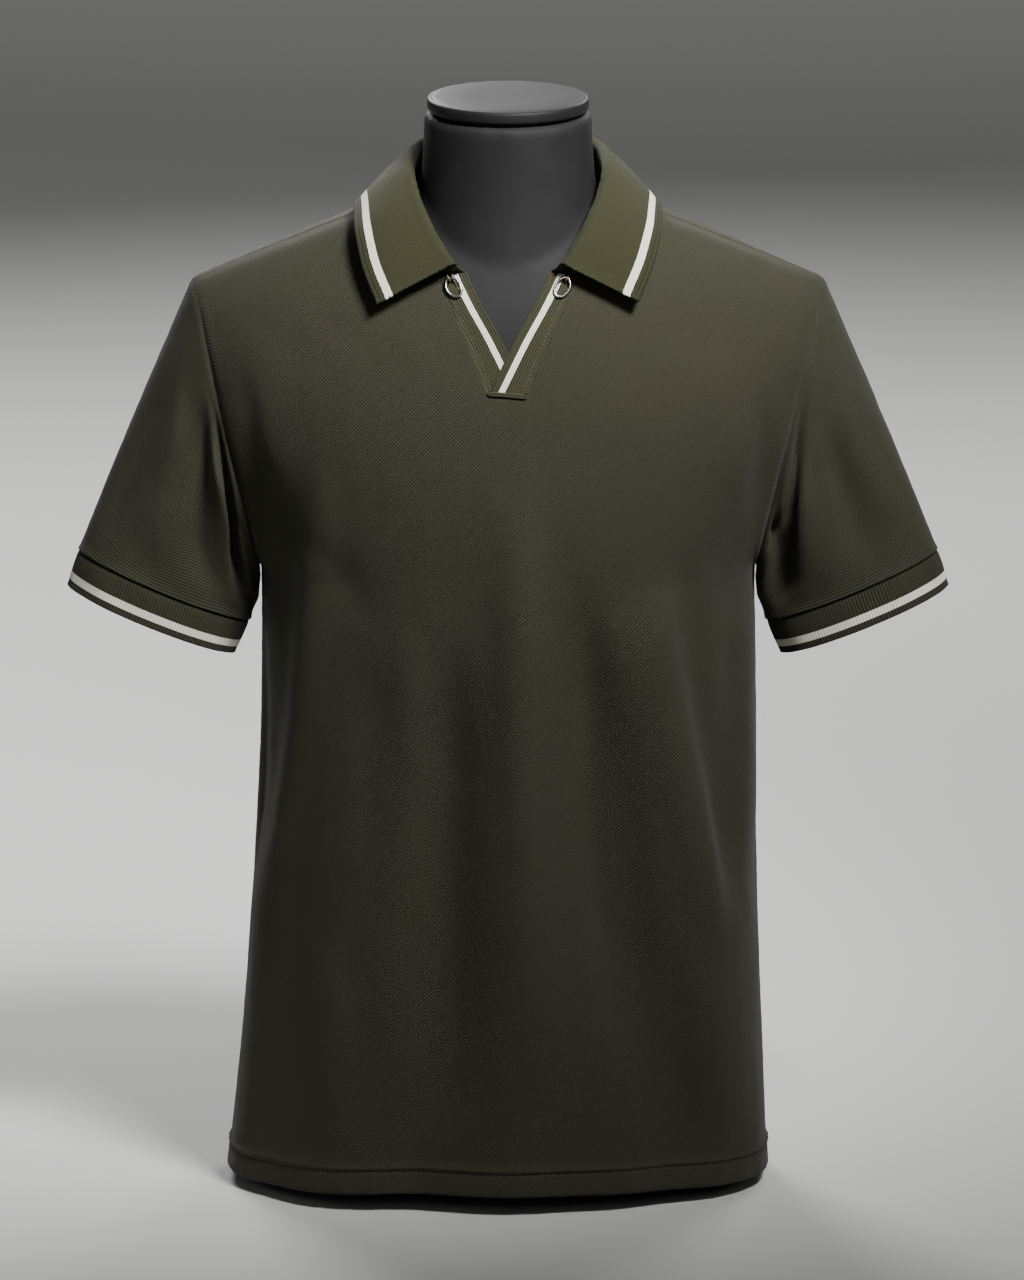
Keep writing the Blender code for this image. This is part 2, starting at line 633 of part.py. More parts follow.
def ring_and_loop(side_name, mirror, steel, thread):
    """The loop stands on the band; the ring hangs in it, its foot turned towards the centre."""
    place, normal, down = cloth_frame(LOOP_SECTION, LOOP_X * mirror)
    centre = place + normal * (SEAM_GAP + LOOP_THREAD / 2.0 + LOOP_RADIUS)
    turn = Matrix.Rotation(RING_TURN * mirror, 3, normal)
    along = (turn @ down).normalized()
    if along.x * mirror > 0.0:
        along = (turn.inverted() @ down).normalized()
    across = along.cross(normal).normalized()
    loop = (centre, LOOP_RADIUS, LOOP_RADIUS, normal, along, LOOP_THREAD)
    oval_tube(f"ring_loop_{side_name}", *loop, 12, 6, thread)
    hang = (along * math.cos(RING_LEAN) - normal * math.sin(RING_LEAN)).normalized()
    middle = centre + hang * RING_HALF_HEIGHT
    ring = (middle, RING_HALF_WIDTH, RING_HALF_HEIGHT, across, hang, RING_WIRE)
    oval_tube(f"neck_ring_{side_name}", *ring, 20, 8, steel)


# ---------------------------------------------------------------- dress form
def form_ring(s):
    """One ring of the shirt's surface: from the centre front over the left side, the back and the right."""
    w = 1.0 - (1.0 - np.linspace(0.0, 1.0, 300)) ** 2
    half = resample(np.concatenate([body_point(s, -1, w), body_point(s, 1, w)[::-1]]), FORM_HALF_CELLS)
    half[:, 0] -= half[0, 0]
    return np.concatenate([half, half[1:-1][::-1] * np.array([-1.0, 1.0, 1.0])])


def form_body(finish):
    """The torso: the shirt's surface drawn in, closed by the shoulders' ridge and a flat base."""
    rings = [form_ring(s) for s in FORM_STEPS]
    count = len(rings[0])
    points = np.concatenate(rings)
    faces = grid_faces(len(rings), count, closed=True)
    normals = gather_normals([(points, faces)])
    bm = bmesh.new()
    verts = []
    for r, s in enumerate(FORM_STEPS):
        clear = (read_pairs(FORM_CLEARANCE, s) + PIQUE) * (RIDGE_MITRE if s == 2.0 else 1.0)
        for point in rings[r]:
            place = point - normals[point_key(point)] * clear
            verts.append(bm.verts.new(place))
    toe = [(vert.co.x, vert.co.y) for vert in verts[:count]]
    base = []
    for x, y in toe:
        shrink = 1.0 - BASE_ROUND / math.hypot(x, y)
        base.append(bm.verts.new((x * shrink, y * shrink, 0.0)))
    for face in faces:
        corners = [verts[i] for i in face]
        if len(set(corners)) == 4:
            bm.faces.new(corners)
    for c in range(count):
        d = (c + 1) % count
        bm.faces.new((base[c], base[d], verts[d], verts[c]))
    bm.faces.new(base[::-1])
    bmesh.ops.remove_doubles(bm, verts=bm.verts, dist=1e-5)
    bmesh.ops.recalc_face_normals(bm, faces=bm.faces)
    return add_object("form_body", bm, finish)


def turned(name, profile, finish):
    """A profile of radius and height turned about the neck's leaning axis."""
    bm = bmesh.new()
    verts = [bm.verts.new((radius, 0.0, height)) for radius, height in profile]
    edges = [bm.edges.new(pair) for pair in zip(verts, verts[1:])]
    bmesh.ops.spin(
        bm, geom=verts + edges, cent=(0, 0, 0), axis=(0, 0, 1), dvec=(0, 0, 0),
        angle=2.0 * math.pi, steps=NECK_SIDES, use_merge=True,
    )
    bmesh.ops.remove_doubles(bm, verts=bm.verts, dist=1e-5)
    bmesh.ops.recalc_face_normals(bm, faces=bm.faces)
    lean = (
        Matrix.Translation((0.0, NECK_CENTRE_Y, NECK_TILT_Z))
        @ Matrix.Rotation(NECK_TILT, 4, "X")
        @ Matrix.Translation((0.0, 0.0, -NECK_TILT_Z))
    )
    bmesh.ops.transform(bm, matrix=lean, verts=bm.verts)
    return add_object(name, bm, finish)


def add_neck(body, finish):
    """Joins the neck to the torso. Its own block stays hidden, and isn't a piece of the part."""
    neck = turned("neck_block", NECK_PROFILE, finish)
    neck.hide_render = True
    neck.display_type = "WIRE"
    union = body.modifiers.new("neck", "BOOLEAN")
    union.operation = "UNION"
    union.object = neck


# ---------------------------------------------------------------- the whole
def build():
    clear_scene()
    pique = make_material("olive_pique", (0.075, 0.073, 0.045), 0.9)
    rib = make_material("olive_rib", (0.085, 0.09, 0.045), 0.85)
    steel = make_material("ring_steel", (0.6, 0.6, 0.6), 0.25, 1.0)
    thread = make_material("loop_thread", (0.25, 0.13, 0.07), 0.7)
    matte = make_material("form_black", (0.012, 0.012, 0.013), 0.6)
    satin = make_material("cap_black", (0.015, 0.015, 0.016), 0.4)

    front, back = panel(-1), panel(1)
    sleeves = {"left": sleeve(front, back, 1.0), "right": sleeve(front, back, -1.0)}
    cuffs = {name: cuff(sleeves[name]["turns"], 1.0 if name == "left" else -1.0) for name in sleeves}
    bands = {"left": placket(front, 1.0), "right": placket(front, -1.0)}
    neck = collar(front, back)

    sewn = (front, back, *sleeves.values(), *cuffs.values())
    shared = gather_normals([(part["points"], part["faces"]) for part in sewn])

    def wall(name, part, thickness, finish, normals=None):
        table = shared if normals is None else {**normals, **shared}
        points = part["points"]
        rows = np.array([table.get(point_key(point), np.zeros(3)) for point in points])
        if np.isscalar(thickness):
            thickness = np.full(len(points), thickness)
        return cloth_wall(name, points, part["faces"], rows, thickness, finish)

    def hemmed(part):
        s_hem = part["s"][1] + 1e-6
        return np.repeat([HEM_PIQUE if s <= s_hem else PIQUE for s in part["s"]], part["columns"])

    wall("front", front, hemmed(front), pique)
    wall("back", back, hemmed(back), pique)
    for name in sleeves:
        wall(f"sleeve_{name}", sleeves[name], PIQUE, pique)
        wall(f"cuff_{name}", cuffs[name], RIB, rib)
        own = gather_normals([(bands[name]["points"], bands[name]["faces"])])
        wall(f"placket_{name}", bands[name], BAND, rib, own)
    own = gather_normals([(neck["points"], neck["faces"])])
    wall("collar", neck, RIB, rib, own)

    for name, mirror in (("left", 1.0), ("right", -1.0)):
        ring_and_loop(name, mirror, steel, thread)
    body = form_body(matte)
    add_neck(body, matte)
    turned("form_cap", CAP_PROFILE, satin)


build()
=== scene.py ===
"""Looks of a polo shirt on a limbless dress form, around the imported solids. Metres, +Z up, front faces -Y.
Left and right are the wearer's: the left side lies at +X."""

import math

import bmesh
import bpy
import numpy as np
from mathutils import Matrix, Vector


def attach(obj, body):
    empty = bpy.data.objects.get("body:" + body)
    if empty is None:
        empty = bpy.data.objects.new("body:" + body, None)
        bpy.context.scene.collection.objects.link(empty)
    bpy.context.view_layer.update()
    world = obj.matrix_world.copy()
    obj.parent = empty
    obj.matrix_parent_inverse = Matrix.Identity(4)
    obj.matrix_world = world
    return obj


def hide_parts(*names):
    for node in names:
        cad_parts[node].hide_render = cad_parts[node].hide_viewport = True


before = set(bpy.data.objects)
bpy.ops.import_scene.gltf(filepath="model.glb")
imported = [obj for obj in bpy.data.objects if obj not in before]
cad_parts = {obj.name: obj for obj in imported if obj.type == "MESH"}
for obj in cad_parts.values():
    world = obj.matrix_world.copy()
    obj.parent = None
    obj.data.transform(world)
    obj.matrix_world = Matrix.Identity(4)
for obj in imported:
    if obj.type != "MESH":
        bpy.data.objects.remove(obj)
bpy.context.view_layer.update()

SHIRT = "shirt_on_form"

# ---------------------------------------------------------------- sizes, as in the solids
PIQUE = 0.0013
RIB = 0.0018
BAND = 0.0014
SEAM_GAP = 0.0003
HEM_HEIGHT = 0.019
HEM_LIFT_FRONT = 0.006

BODY_COLUMNS = (
    "s", "front_z", "front_depth", "back_z", "back_depth",
    "edge_x", "edge_front_y", "edge_back_y", "edge_z", "roundness", "shift",
)
BODY_SECTIONS = (
    (0.0, 0.009, 0.132, 0.009, 0.128, 0.2, 0.0, 0.0, 0.009, 2.3, -0.0078),
    (0.25, 0.12, 0.131, 0.12, 0.126, 0.1915, 0.0, 0.0, 0.12, 2.3, -0.0045),
    (0.5, 0.24, 0.13, 0.24, 0.122, 0.185, 0.0, 0.0, 0.24, 2.25, -0.002),
    (0.75, 0.36, 0.131, 0.36, 0.119, 0.1815, 0.0, 0.0, 0.36, 2.2, 0.0),
    (0.9, 0.42, 0.132, 0.42, 0.118, 0.1808, 0.0, 0.0, 0.42, 2.2, 0.0),
    (1.0, 0.46, 0.132, 0.46, 0.118, 0.1815, 0.0, 0.0, 0.46, 2.2, 0.0),
    (1.05, 0.476, 0.132, 0.4765, 0.118, 0.1825, -0.022, 0.02, 0.465, 2.2, 0.0),
    (1.1, 0.492, 0.132, 0.493, 0.118, 0.185, -0.034, 0.03, 0.477, 2.2, 0.0),
    (1.2, 0.524, 0.131, 0.526, 0.118, 0.1915, -0.046, 0.041, 0.507, 2.2, 0.0),
    (1.4, 0.585, 0.125, 0.595, 0.117, 0.204, -0.056, 0.052, 0.561, 2.2, 0.0),
    (1.6, 0.64, 0.111, 0.656, 0.11, 0.2145, -0.052, 0.05, 0.608, 2.1, 0.0),
    (1.8, 0.692, 0.086, 0.714, 0.089, 0.2235, -0.036, 0.035, 0.648, 1.95, 0.0),
    (1.9, 0.738, 0.049, 0.748, 0.051, 0.2275, -0.02, 0.02, 0.665, 1.9, 0.0),
    (1.95, 0.758, 0.025, 0.76, 0.026, 0.229, -0.01, 0.01, 0.6715, 1.85, 0.0),
    (2.0, 0.765, 0.0, 0.765, 0.0, 0.23, 0.0, 0.0, 0.674, 1.8, 0.0),
)
V_BOTTOM = 1.48
NECK_CORNER = 1.8
BACK_NECK_BOTTOM = 1.86
FRONT_OPENING = (
    (V_BOTTOM, 0.0146), (NECK_CORNER, 0.05), (1.86, 0.06), (1.91, 0.068), (1.96, 0.0745), (2.0, 0.078),
)
BACK_OPENING = ((BACK_NECK_BOTTOM, 0.044), (1.91, 0.062), (1.96, 0.073), (2.0, 0.078))

# Folds of the body: ring_low, z_low, ring_high, z_high, half width, height. The ring runs from the front's
# centre, 0, over the left side, 1, to the back's centre, 2.
BODY_FOLDS = (
    (0.06, -0.1, 0.02, 0.64, 0.16, 0.006),
    (-0.3, -0.05, -0.34, 0.42, 0.13, -0.007),
    (0.68, -0.05, 0.46, 0.44, 0.13, -0.0075),
    (0.86, 0.04, 0.72, 0.43, 0.1, 0.005),
    (-0.62, -0.1, -0.58, 0.4, 0.16, 0.005),
    (-0.86, -0.05, -0.82, 0.44, 0.09, -0.004),
    (-0.88, 0.42, -0.93, 0.58, 0.06, -0.004),
    (0.9, 0.42, 0.93, 0.58, 0.06, -0.0035),
    (1.42, -0.08, 1.52, 0.48, 0.14, 0.0055),
    (1.72, -0.05, 1.74, 0.42, 0.12, -0.006),
    (2.02, -0.1, 1.98, 0.52, 0.15, 0.005),
    (2.34, -0.05, 2.28, 0.46, 0.12, -0.006),
    (2.64, -0.08, 2.54, 0.5, 0.14, 0.005),
)

CUFF_SEAM_OUTER = Vector((0.3145, 0.0, 0.472))
CUFF_SEAM_INNER = Vector((0.1895, 0.0, 0.42))
CUFF_END_OUTER = Vector((0.323, 0.0, 0.445))
CUFF_END_INNER = Vector((0.201, 0.0, 0.395))
CUFF_HALF_DEPTH = 0.042
# Folds of the sleeves: turn, drift of the turn, from_row, to_row, half width, height.
SLEEVE_FOLDS = (
    (0.17, 0.03, 0.1, 1.0, 0.05, -0.005),
    (0.27, 0.0, 0.15, 1.0, 0.055, 0.005),
    (0.38, -0.02, 0.05, 0.85, 0.055, -0.0075),
    (0.62, 0.02, 0.05, 0.85, 0.055, -0.006),
    (0.78, 0.0, 0.15, 1.0, 0.06, 0.0045),
    (0.9, -0.02, 0.2, 1.0, 0.05, -0.0035),
)

COLLAR_COLUMNS = ("turn", "fold_x", "fold_y", "fold_z", "edge_x", "edge_y", "edge_z")
COLLAR_SECTIONS = (
    (0.0, 0.0405, -0.095, 0.6975, 0.0945, -0.101, 0.669),
    (0.18, 0.056, -0.076, 0.721, 0.106, -0.08, 0.6985),
    (0.36, 0.067, -0.048, 0.742, 0.1105, -0.053, 0.718),
    (0.52, 0.0715, -0.016, 0.758, 0.111, -0.015, 0.7275),
    (0.66, 0.069, 0.015, 0.766, 0.104, 0.024, 0.7265),
    (0.82, 0.048, 0.048, 0.771, 0.074, 0.064, 0.725),
    (1.0, 0.0, 0.064, 0.773, 0.0, 0.084, 0.7245),
)
FOLD_RADIUS = 0.0022
BAND_TOP_WIDTH = 0.02
BAND_BOTTOM_WIDTH = 0.0285
BAND_LAP = 0.0021

RING_HALF_WIDTH = 0.005
RING_HALF_HEIGHT = 0.0076
RING_WIRE = 0.0018
RING_FLATNESS = 1.35
RING_TURN = math.radians(26.0)
RING_LEAN = math.radians(6.0)
LOOP_RADIUS = 0.0023
LOOP_THREAD = 0.0014
LOOP_SECTION = 1.787
LOOP_X = 0.0425

FORM_CLEARANCE = (
    (0.0, 0.05), (0.25, 0.036), (0.5, 0.024), (0.75, 0.015), (1.0, 0.008), (1.2, 0.005),
    (1.4, 0.0045), (1.6, 0.0032), (1.72, 0.0016), (1.8, 0.001), (2.0, 0.0008),
)
RIDGE_MITRE = 1.15
BASE_ROUND = 0.018
NECK_CENTRE_Y = -0.012
NECK_TILT = math.radians(3.5)
NECK_TILT_Z = 0.74
NECK_PROFILE = (
    (0.0, 0.66), (0.077, 0.66), (0.0755, 0.685), (0.0725, 0.7), (0.069, 0.716),
    (0.0655, 0.735), (0.063, 0.755), (0.0616, 0.775), (0.061, 0.798), (0.0, 0.798),
)

# ---------------------------------------------------------------- sizes of the looks
LIP_FROM, LIP_TO = -0.015, 0.0142
LIP_SECTION = 1.4805
LIP_TILT = 0.0085
LIP_HALF_WIDTH = 0.0019
LIP_HALF_DEPTH = 0.001
LIP_SIDES, LIP_STEPS = 14, 30
PANEL_HALF_CELLS = 66
PANEL_CENTRE_CELLS = 12
SLEEVE_ROWS = 52
SLEEVE_DRAW = np.array([0.4, 0.0, -0.917])
SLEEVE_AROUND, SLEEVE_LENGTH = 0.4, 0.2
SEAM_DEPTH = 0.0008
SEAM_WIDTH = 0.0022
CUFF_RIBS, CELLS_PER_RIB = 165, 4
CUFF_ROWS = 16
CUFF_DEPTH = 0.0277
CUFF_AROUND = 0.36
COLLAR_CELLS, STAND_CELLS, LEAF_CELLS = 240, 9, 34
COLLAR_LENGTH = 0.46
STAND_SHARE = 0.34
FOLD_SOFTNESS = 0.0026
FOLD_LIFT = 0.0011
LEAF_RISE = 0.0022
LEAF_BULGE = 0.0012
LEAF_WAVE = 0.0012
LEAF_WAVE_RATE = 8.28
LEAF_CURL = 0.0018
NAPE_ROUNDING = 0.08
BAND_CELLS, BAND_ROWS = 48, 50
BAND_RIB = 0.0021
BAND_STITCH_COLUMN = 5
STITCH_SUNK = 0.35
HEM_STITCH_HEIGHT = 0.0166
HEM_ROWS = (
    0.0, 0.0009, 0.003, 0.007, 0.011, 0.0145, 0.016, 0.0172, 0.0184, 0.0194, 0.0204, 0.0216, 0.024, 0.028,
)
FORM_CELLS, FORM_VOXEL = 40, 0.004
CREASE_POINTS = 15

FLOOR_HALF = 60.0
KEY_CONE = math.radians(35.0)
KEY_RADIUS = 0.38
CAMERA_TARGET = Vector((0.0029, 0.0, 0.403))
CAMERA_ELEVATION = math.radians(11.2)
CAMERA_DISTANCE = 8.0
CAMERA_LENS = 306.0
WORLD_STRENGTH = 0.06


# ---------------------------------------------------------------- reading the tables
def unit(vectors):
    return vectors / np.maximum(np.linalg.norm(vectors, axis=-1, keepdims=True), 1e-12)


def moved(points, directions, by):
    return points + directions * by[..., None]


def bell(away, width):
    return np.exp(-((away / width) ** 2))


def cubic(t, start, start_slope, end, end_slope):
    return (
        (2 * t**3 - 3 * t**2 + 1) * start + (t**3 - 2 * t**2 + t) * start_slope
        + (3 * t**2 - 2 * t**3) * end + (t**3 - t**2) * end_slope
    )


def smooth_between(stations, values, at):
    """Cubic through the values that never passes beyond its neighbours."""
    secants = np.diff(values) / np.diff(stations)
    before, after = secants[:-1], secants[1:]
    same = before * after > 0.0
    middle = np.where(same, 2.0 * before * after / np.where(same, before + after, 1.0), 0.0)
    slopes = np.concatenate([secants[:1], middle, secants[-1:]])
    index = int(np.clip(np.searchsorted(stations, at) - 1, 0, len(stations) - 2))
    step = stations[index + 1] - stations[index]
    t = (at - stations[index]) / step
    return cubic(t, values[index], step * slopes[index], values[index + 1], step * slopes[index + 1])


def read_table(columns, rows, at):
    table = np.array(rows)
    return {name: smooth_between(table[:, 0], table[:, i], at) for i, name in enumerate(columns)}


def body_row(s):
    return read_table(BODY_COLUMNS, BODY_SECTIONS, s)


def read_pairs(pairs, at):
    return np.interp(at, *np.array(pairs).T)


def lengths_along(points):
    return np.concatenate([[0.0], np.cumsum(np.linalg.norm(np.diff(points, axis=0), axis=1))])


def at_length(values, lengths, wanted):
    return np.stack([np.interp(wanted, lengths, values[:, i]) for i in range(3)], axis=-1)


def resample(points, shares):
    """Points at these shares of the way along a fine polyline."""
    lengths = lengths_along(points)
    return at_length(points, lengths, shares * lengths[-1])


def smoothstep(value):
    value = np.clip(value, 0.0, 1.0)
    return value * value * (3.0 - 2.0 * value)


# ---------------------------------------------------------------- the body's surface
def body_point(s, side, w):
    """Outer face of the cloth. side is -1 in front, 1 behind; w runs from the centre, 0, to the edge, 1."""
    row = body_row(s)
    edge_y = row["edge_front_y"] if side < 0 else row["edge_back_y"]
    depth = row["front_depth"] if side < 0 else row["back_depth"]
    centre_z = row["front_z"] if side < 0 else row["back_z"]
    along = np.abs(w)
    round_by = row["roundness"]
    cut = 1.0 - (abs(edge_y) / max(depth, 1e-6)) ** round_by
    fall = along ** (1.0 + 0.8 * min(1.0, (2.0 - s) * 4.0))
    y = side * depth * np.maximum(1.0 - cut * along**round_by, 0.0) ** (1.0 / round_by)
    z = centre_z + (row["edge_z"] - centre_z) * fall
    if side < 0 and s < 1.0:
        z = z + HEM_LIFT_FRONT * (1.0 - s) ** 4 * (1.0 - along**2)
    return np.stack([row["shift"] + row["edge_x"] * w, y, z], axis=-1)


def folded(points, side, s):
    """The points of a row with the solids' folds pushed into them."""
    row = body_row(s)
    w = (points[:, 0] - row["shift"]) / row["edge_x"]
    out = unit(points * np.array([0.6, 1.0, 0.0]))
    return points + out * fold_height(w if side < 0 else 2.0 - w, points[:, 2])[:, None]


def fold_height(ring, z):
    total = np.zeros(len(ring))
    for ring_low, z_low, ring_high, z_high, half_width, height in BODY_FOLDS:
        t = (z - z_low) / (z_high - z_low)
        centre = ring_low + t * (ring_high - ring_low)
        away = (ring - centre + 2.0) % 4.0 - 2.0
        fade = smoothstep(np.clip(3.0 * (1.0 - t), 0.0, 1.0) * np.clip(6.0 * t, 0.0, 1.0))
        total += height * fade * bell(away, half_width)
    return total


def opening_at(side, s):
    return read_pairs(FRONT_OPENING if side < 0 else BACK_OPENING, s)


def graded(cells, length, tight_start=False, tight_end=True):
    """Shares from 0 to 1, with two narrow cells at a border so that its edge shades crisply."""
    narrow = (0.0009 / length, 0.0026 / length)
    first = [0.0, *narrow] if tight_start else [0.0]
    last = [1.0 - narrow[1], 1.0 - narrow[0], 1.0] if tight_end else [1.0]
    between = np.linspace(first[-1], last[0], cells + 3 - len(first) - len(last))[1:-1]
    return np.array([*first, *between, *last])


def panel_row(s, side):
    """One row of a panel, from the right side to the left one."""
    edge_x = body_row(s)["edge_x"]
    inner = opening_at(side, s) / edge_x
    fine = 1.0 - (1.0 - np.linspace(0.0, 1.0, 500)) ** 2
    shares = graded(PANEL_HALF_CELLS, 0.2, tight_start=True)
    left = resample(body_point(s, side, inner + (1.0 - inner) * fine), shares)
    right = resample(body_point(s, side, -inner - (1.0 - inner) * fine), shares)
    middle = body_point(s, side, np.linspace(-inner, inner, PANEL_CENTRE_CELLS + 1))
    return np.concatenate([right[::-1], middle[1:-1], left])


def section_steps():
    """Sections for the panels' rows: close together at the hem's stitches, the neck and the shoulders."""
    rise = BODY_SECTIONS[1][1] - BODY_SECTIONS[0][1]
    steps = [height / rise * BODY_SECTIONS[1][0] for height in HEM_ROWS]
    for low, high, step in ((0.075, 1.0, 0.0115), (1.0, 1.12, 0.012), (1.12, V_BOTTOM, 0.02),
                            (V_BOTTOM, NECK_CORNER, 0.0178), (NECK_CORNER, BACK_NECK_BOTTOM, 0.01),
                            (BACK_NECK_BOTTOM, 1.98, 0.01), (1.98, 1.996, 0.004)):
        steps += list(np.linspace(low, high, max(2, int(round((high - low) / step))), endpoint=False))
    steps += [1.996, 1.999, 2.0]
    return sorted(set(round(step, 6) for step in steps))


# ---------------------------------------------------------------- creases
# Creases of the front and the back, from their top over their middle to their low end, as (x, z), in
# millimetres. A positive height is a ridge; lean adds a trough of that share of it, on the +X side or,
# below 0, on the other.
# Columns: x_top, z_top, x_mid, z_mid, x_low, z_low, half width, height, lean.
FRONT_CREASES = (
    (-134, 590, -152, 350, -190, 150, 16, 6, -0.5),
    (-160, 460, -172, 330, -190, 190, 12, -4, 0.3),
    (-192, 620, -186, 560, -178, 500, 9, -2.2, 0.3),
    (-165, 500, -120, 470, -90, 400, 13, -1.6, -0.4),
    (-98, 440, -94, 300, -100, 110, 22, -3.6, 0.4),
    (-44, 450, -44, 240, -48, 30, 21, -10, -0.5),
    (9, 560, 10, 320, 14, 40, 19, 6.8, 0.5),
    (62, 480, 66, 300, 102, 50, 20, -11.8, 0.6),
    (108, 500, 122, 340, 180, 130, 18, 8.6, 0.6),
    (134, 430, 150, 320, 174, 200, 11, -4.4, 0.5),
    (172, 470, 176, 330, 178, 160, 8, 3.4, -0.9),
    (168, 500, 120, 470, 80, 430, 13, -1.4, 0.4),
    (184, 600, 186, 550, 178, 490, 10, -2.8, -0.5),
    (138, 200, 146, 120, 156, 30, 14, 3, -0.5),
    (-136, 220, -128, 120, -132, 30, 15, 3.4, 0.5),
    (-100, 655, -140, 640, -180, 612, 16, -1.4, 0.4),
    (100, 655, 140, 642, 180, 616, 16, -1.2, -0.4),
)
BACK_CREASES = (
    (-130, 560, -146, 360, -172, 110, 14, 6.1, 0.6),
    (-160, 510, -110, 470, -60, 440, 14, -3.7, 0.5),
    (-90, 480, -84, 330, -92, 120, 16, -5.1, -0.5),
    (-34, 540, -40, 340, -36, 60, 14, 4.4, 0.5),
    (12, 420, 20, 250, 14, 50, 12, -3.7, 0.4),
    (62, 560, 70, 350, 80, 100, 14, 5.1, -0.6),
    (110, 470, 116, 320, 134, 110, 14, -5.4, 0.5),
    (164, 505, 120, 476, 70, 452, 13, -3.4, -0.5),
    (172, 480, 172, 330, 180, 150, 8, 4.4, 0.7),
    (-184, 600, -186, 560, -178, 510, 8, -4.1, 0.4),
    (186, 600, 188, 560, 180, 510, 8, -4.1, -0.4),
    (-60, 690, -110, 668, -150, 640, 16, -1.4, 0.5),
    (60, 690, 108, 670, 150, 644, 16, -1.4, 0.5),
    (-40, 640, 0, 628, 46, 642, 14, -2, 0.5),
)
# Creases of the sleeves, in the cloth's own measures: across from the underarm, 0, to the shoulder's line,
# 200 behind and -200 in front, and down from the armhole, 0, to the cuff, 200.
LEFT_SLEEVE_CREASES = (
    (-52, 4, -46, 80, -38, 190, 10, -7.8, 0.4),
    (-140, 6, -74, 62, -40, 195, 12, -8.5, 0.4),
    (-100, 50, -82, 100, -62, 192, 12, 4.6, -0.5),
    (-132, 60, -122, 120, -112, 192, 14, -2.8, 0.4),
    (-158, 30, -152, 100, -152, 180, 14, 1.8, 0.5),
    (-30, 20, -60, 50, -96, 70, 10, -2.2, 0.5),
    (52, 4, 48, 80, 40, 180, 10, -6, -0.5),
    (92, 10, 86, 90, 76, 185, 12, 4.2, 0.5),
    (132, 40, 128, 110, 122, 185, 13, -2.6, -0.4),
    (0, 20, 4, 90, -4, 160, 12, 2.4, 0.5),
)
RIGHT_SLEEVE_CREASES = (
    (-135, 6, -66, 58, -28, 195, 11, -8.8, 0.4),
    (-110, 30, -70, 85, -42, 195, 10, 5.6, -0.4),
    (-130, 20, -100, 95, -76, 192, 15, -7.8, 0.5),
    (-150, 40, -132, 110, -116, 190, 16, 4.8, -0.4),
    (-172, 70, -168, 130, -162, 190, 12, -1.8, 0.4),
    (-28, 15, -56, 40, -90, 52, 9, -1.4, -0.5),
    (56, 4, 50, 80, 44, 180, 10, -6.4, -0.5),
    (88, 10, 84, 90, 78, 185, 12, 4, 0.5),
    (128, 30, 122, 100, 116, 180, 13, -3, 0.4),
    (4, 10, 0, 90, 6, 170, 12, 2.2, -0.5),
)


def crease_height(across, down, creases):
    """How far the creases push the cloth out at these places, given in the creases' own two measures."""
    total = np.zeros(across.shape)
    t = np.linspace(0.0, 1.0, CREASE_POINTS)
    for *values, lean in creases:
        top, mid, low, (half_width, most) = np.array(values).reshape(4, 2) / 1000.0
        bend = 2.0 * mid - (top + low) / 2.0
        line_x, line_z = (
            np.outer(top, (1.0 - t) ** 2) + np.outer(bend, 2.0 * t * (1.0 - t)) + np.outer(low, t**2)
        )
        best = np.full(across.shape, 1e9)
        signed = np.zeros(across.shape)
        place = np.zeros(across.shape)
        for i in range(len(t) - 1):
            step_x, step_z = line_x[i + 1] - line_x[i], line_z[i + 1] - line_z[i]
            size = math.hypot(step_x, step_z)
            from_x, from_z = across - line_x[i], down - line_z[i]
            share = np.clip((from_x * step_x + from_z * step_z) / size**2, 0.0, 1.0)
            off_x, off_z = from_x - share * step_x, from_z - share * step_z
            distance = np.hypot(off_x, off_z)
            nearer = distance < best
            best = np.where(nearer, distance, best)
            signed = np.where(nearer, np.sign(off_x) * distance, signed)
            place = np.where(nearer, (i + share) / (len(t) - 1), place)
        width = half_width * (0.75 + 0.5 * place)
        taper = smoothstep(place / 0.3) * smoothstep((1.0 - place) / 0.34)
        beside = signed - math.copysign(1.7, lean) * width
        total += most * taper * (bell(best, width) - abs(lean) * bell(beside, 1.2 * width))
    return total


# ---------------------------------------------------------------- cloth
def key_of(points):
    return np.round(points * 1e6).astype(np.int64)


def grid_normals(points, closed, outward):
    """Normals at the points of a grid, rows by columns, unweighted over its cells."""
    wrapped = np.concatenate([points, points[:, :1]], axis=1) if closed else points
    across = wrapped[:-1, 1:] - wrapped[1:, :-1]
    along = wrapped[1:, 1:] - wrapped[:-1, :-1]
    cell = np.cross(across, along) * outward
    size = np.linalg.norm(cell, axis=2, keepdims=True)
    cell = cell / np.maximum(np.sqrt(size), 1e-12)
    total = np.zeros(wrapped.shape)
    for r in (0, 1):
        for c in (0, 1):
            total[r : r + cell.shape[0], c : c + cell.shape[1]] += cell
    if closed:
        total[:, 0] += total[:, -1]
        total = total[:, :-1]
    return total


def shared_normals(grids):
    """Unit normals of each grid, the same wherever two grids share a point."""
    sums = {}
    raw = [grid_normals(grid["points"], grid["closed"], grid["outward"]) for grid in grids]
    borders = []
    for grid, total in zip(grids, raw):
        mask = grid["border"]
        keys = [tuple(key) for key in key_of(grid["points"][mask])]
        borders.append(keys)
        for key, value in zip(keys, total[mask]):
            sums[key] = sums.get(key, 0.0) + value
    done = []
    for grid, total, keys in zip(grids, raw, borders):
        total = total.copy()
        total[grid["border"]] = np.array([sums[key] for key in keys])
        done.append(unit(total))
    return done


def measure(points):
    """Distances along the rows and along the columns of a grid, from its first column and its first row."""
    across = np.array([lengths_along(row) for row in points])
    down = np.array([lengths_along(column) for column in points.transpose(1, 0, 2)]).T
    return across, down


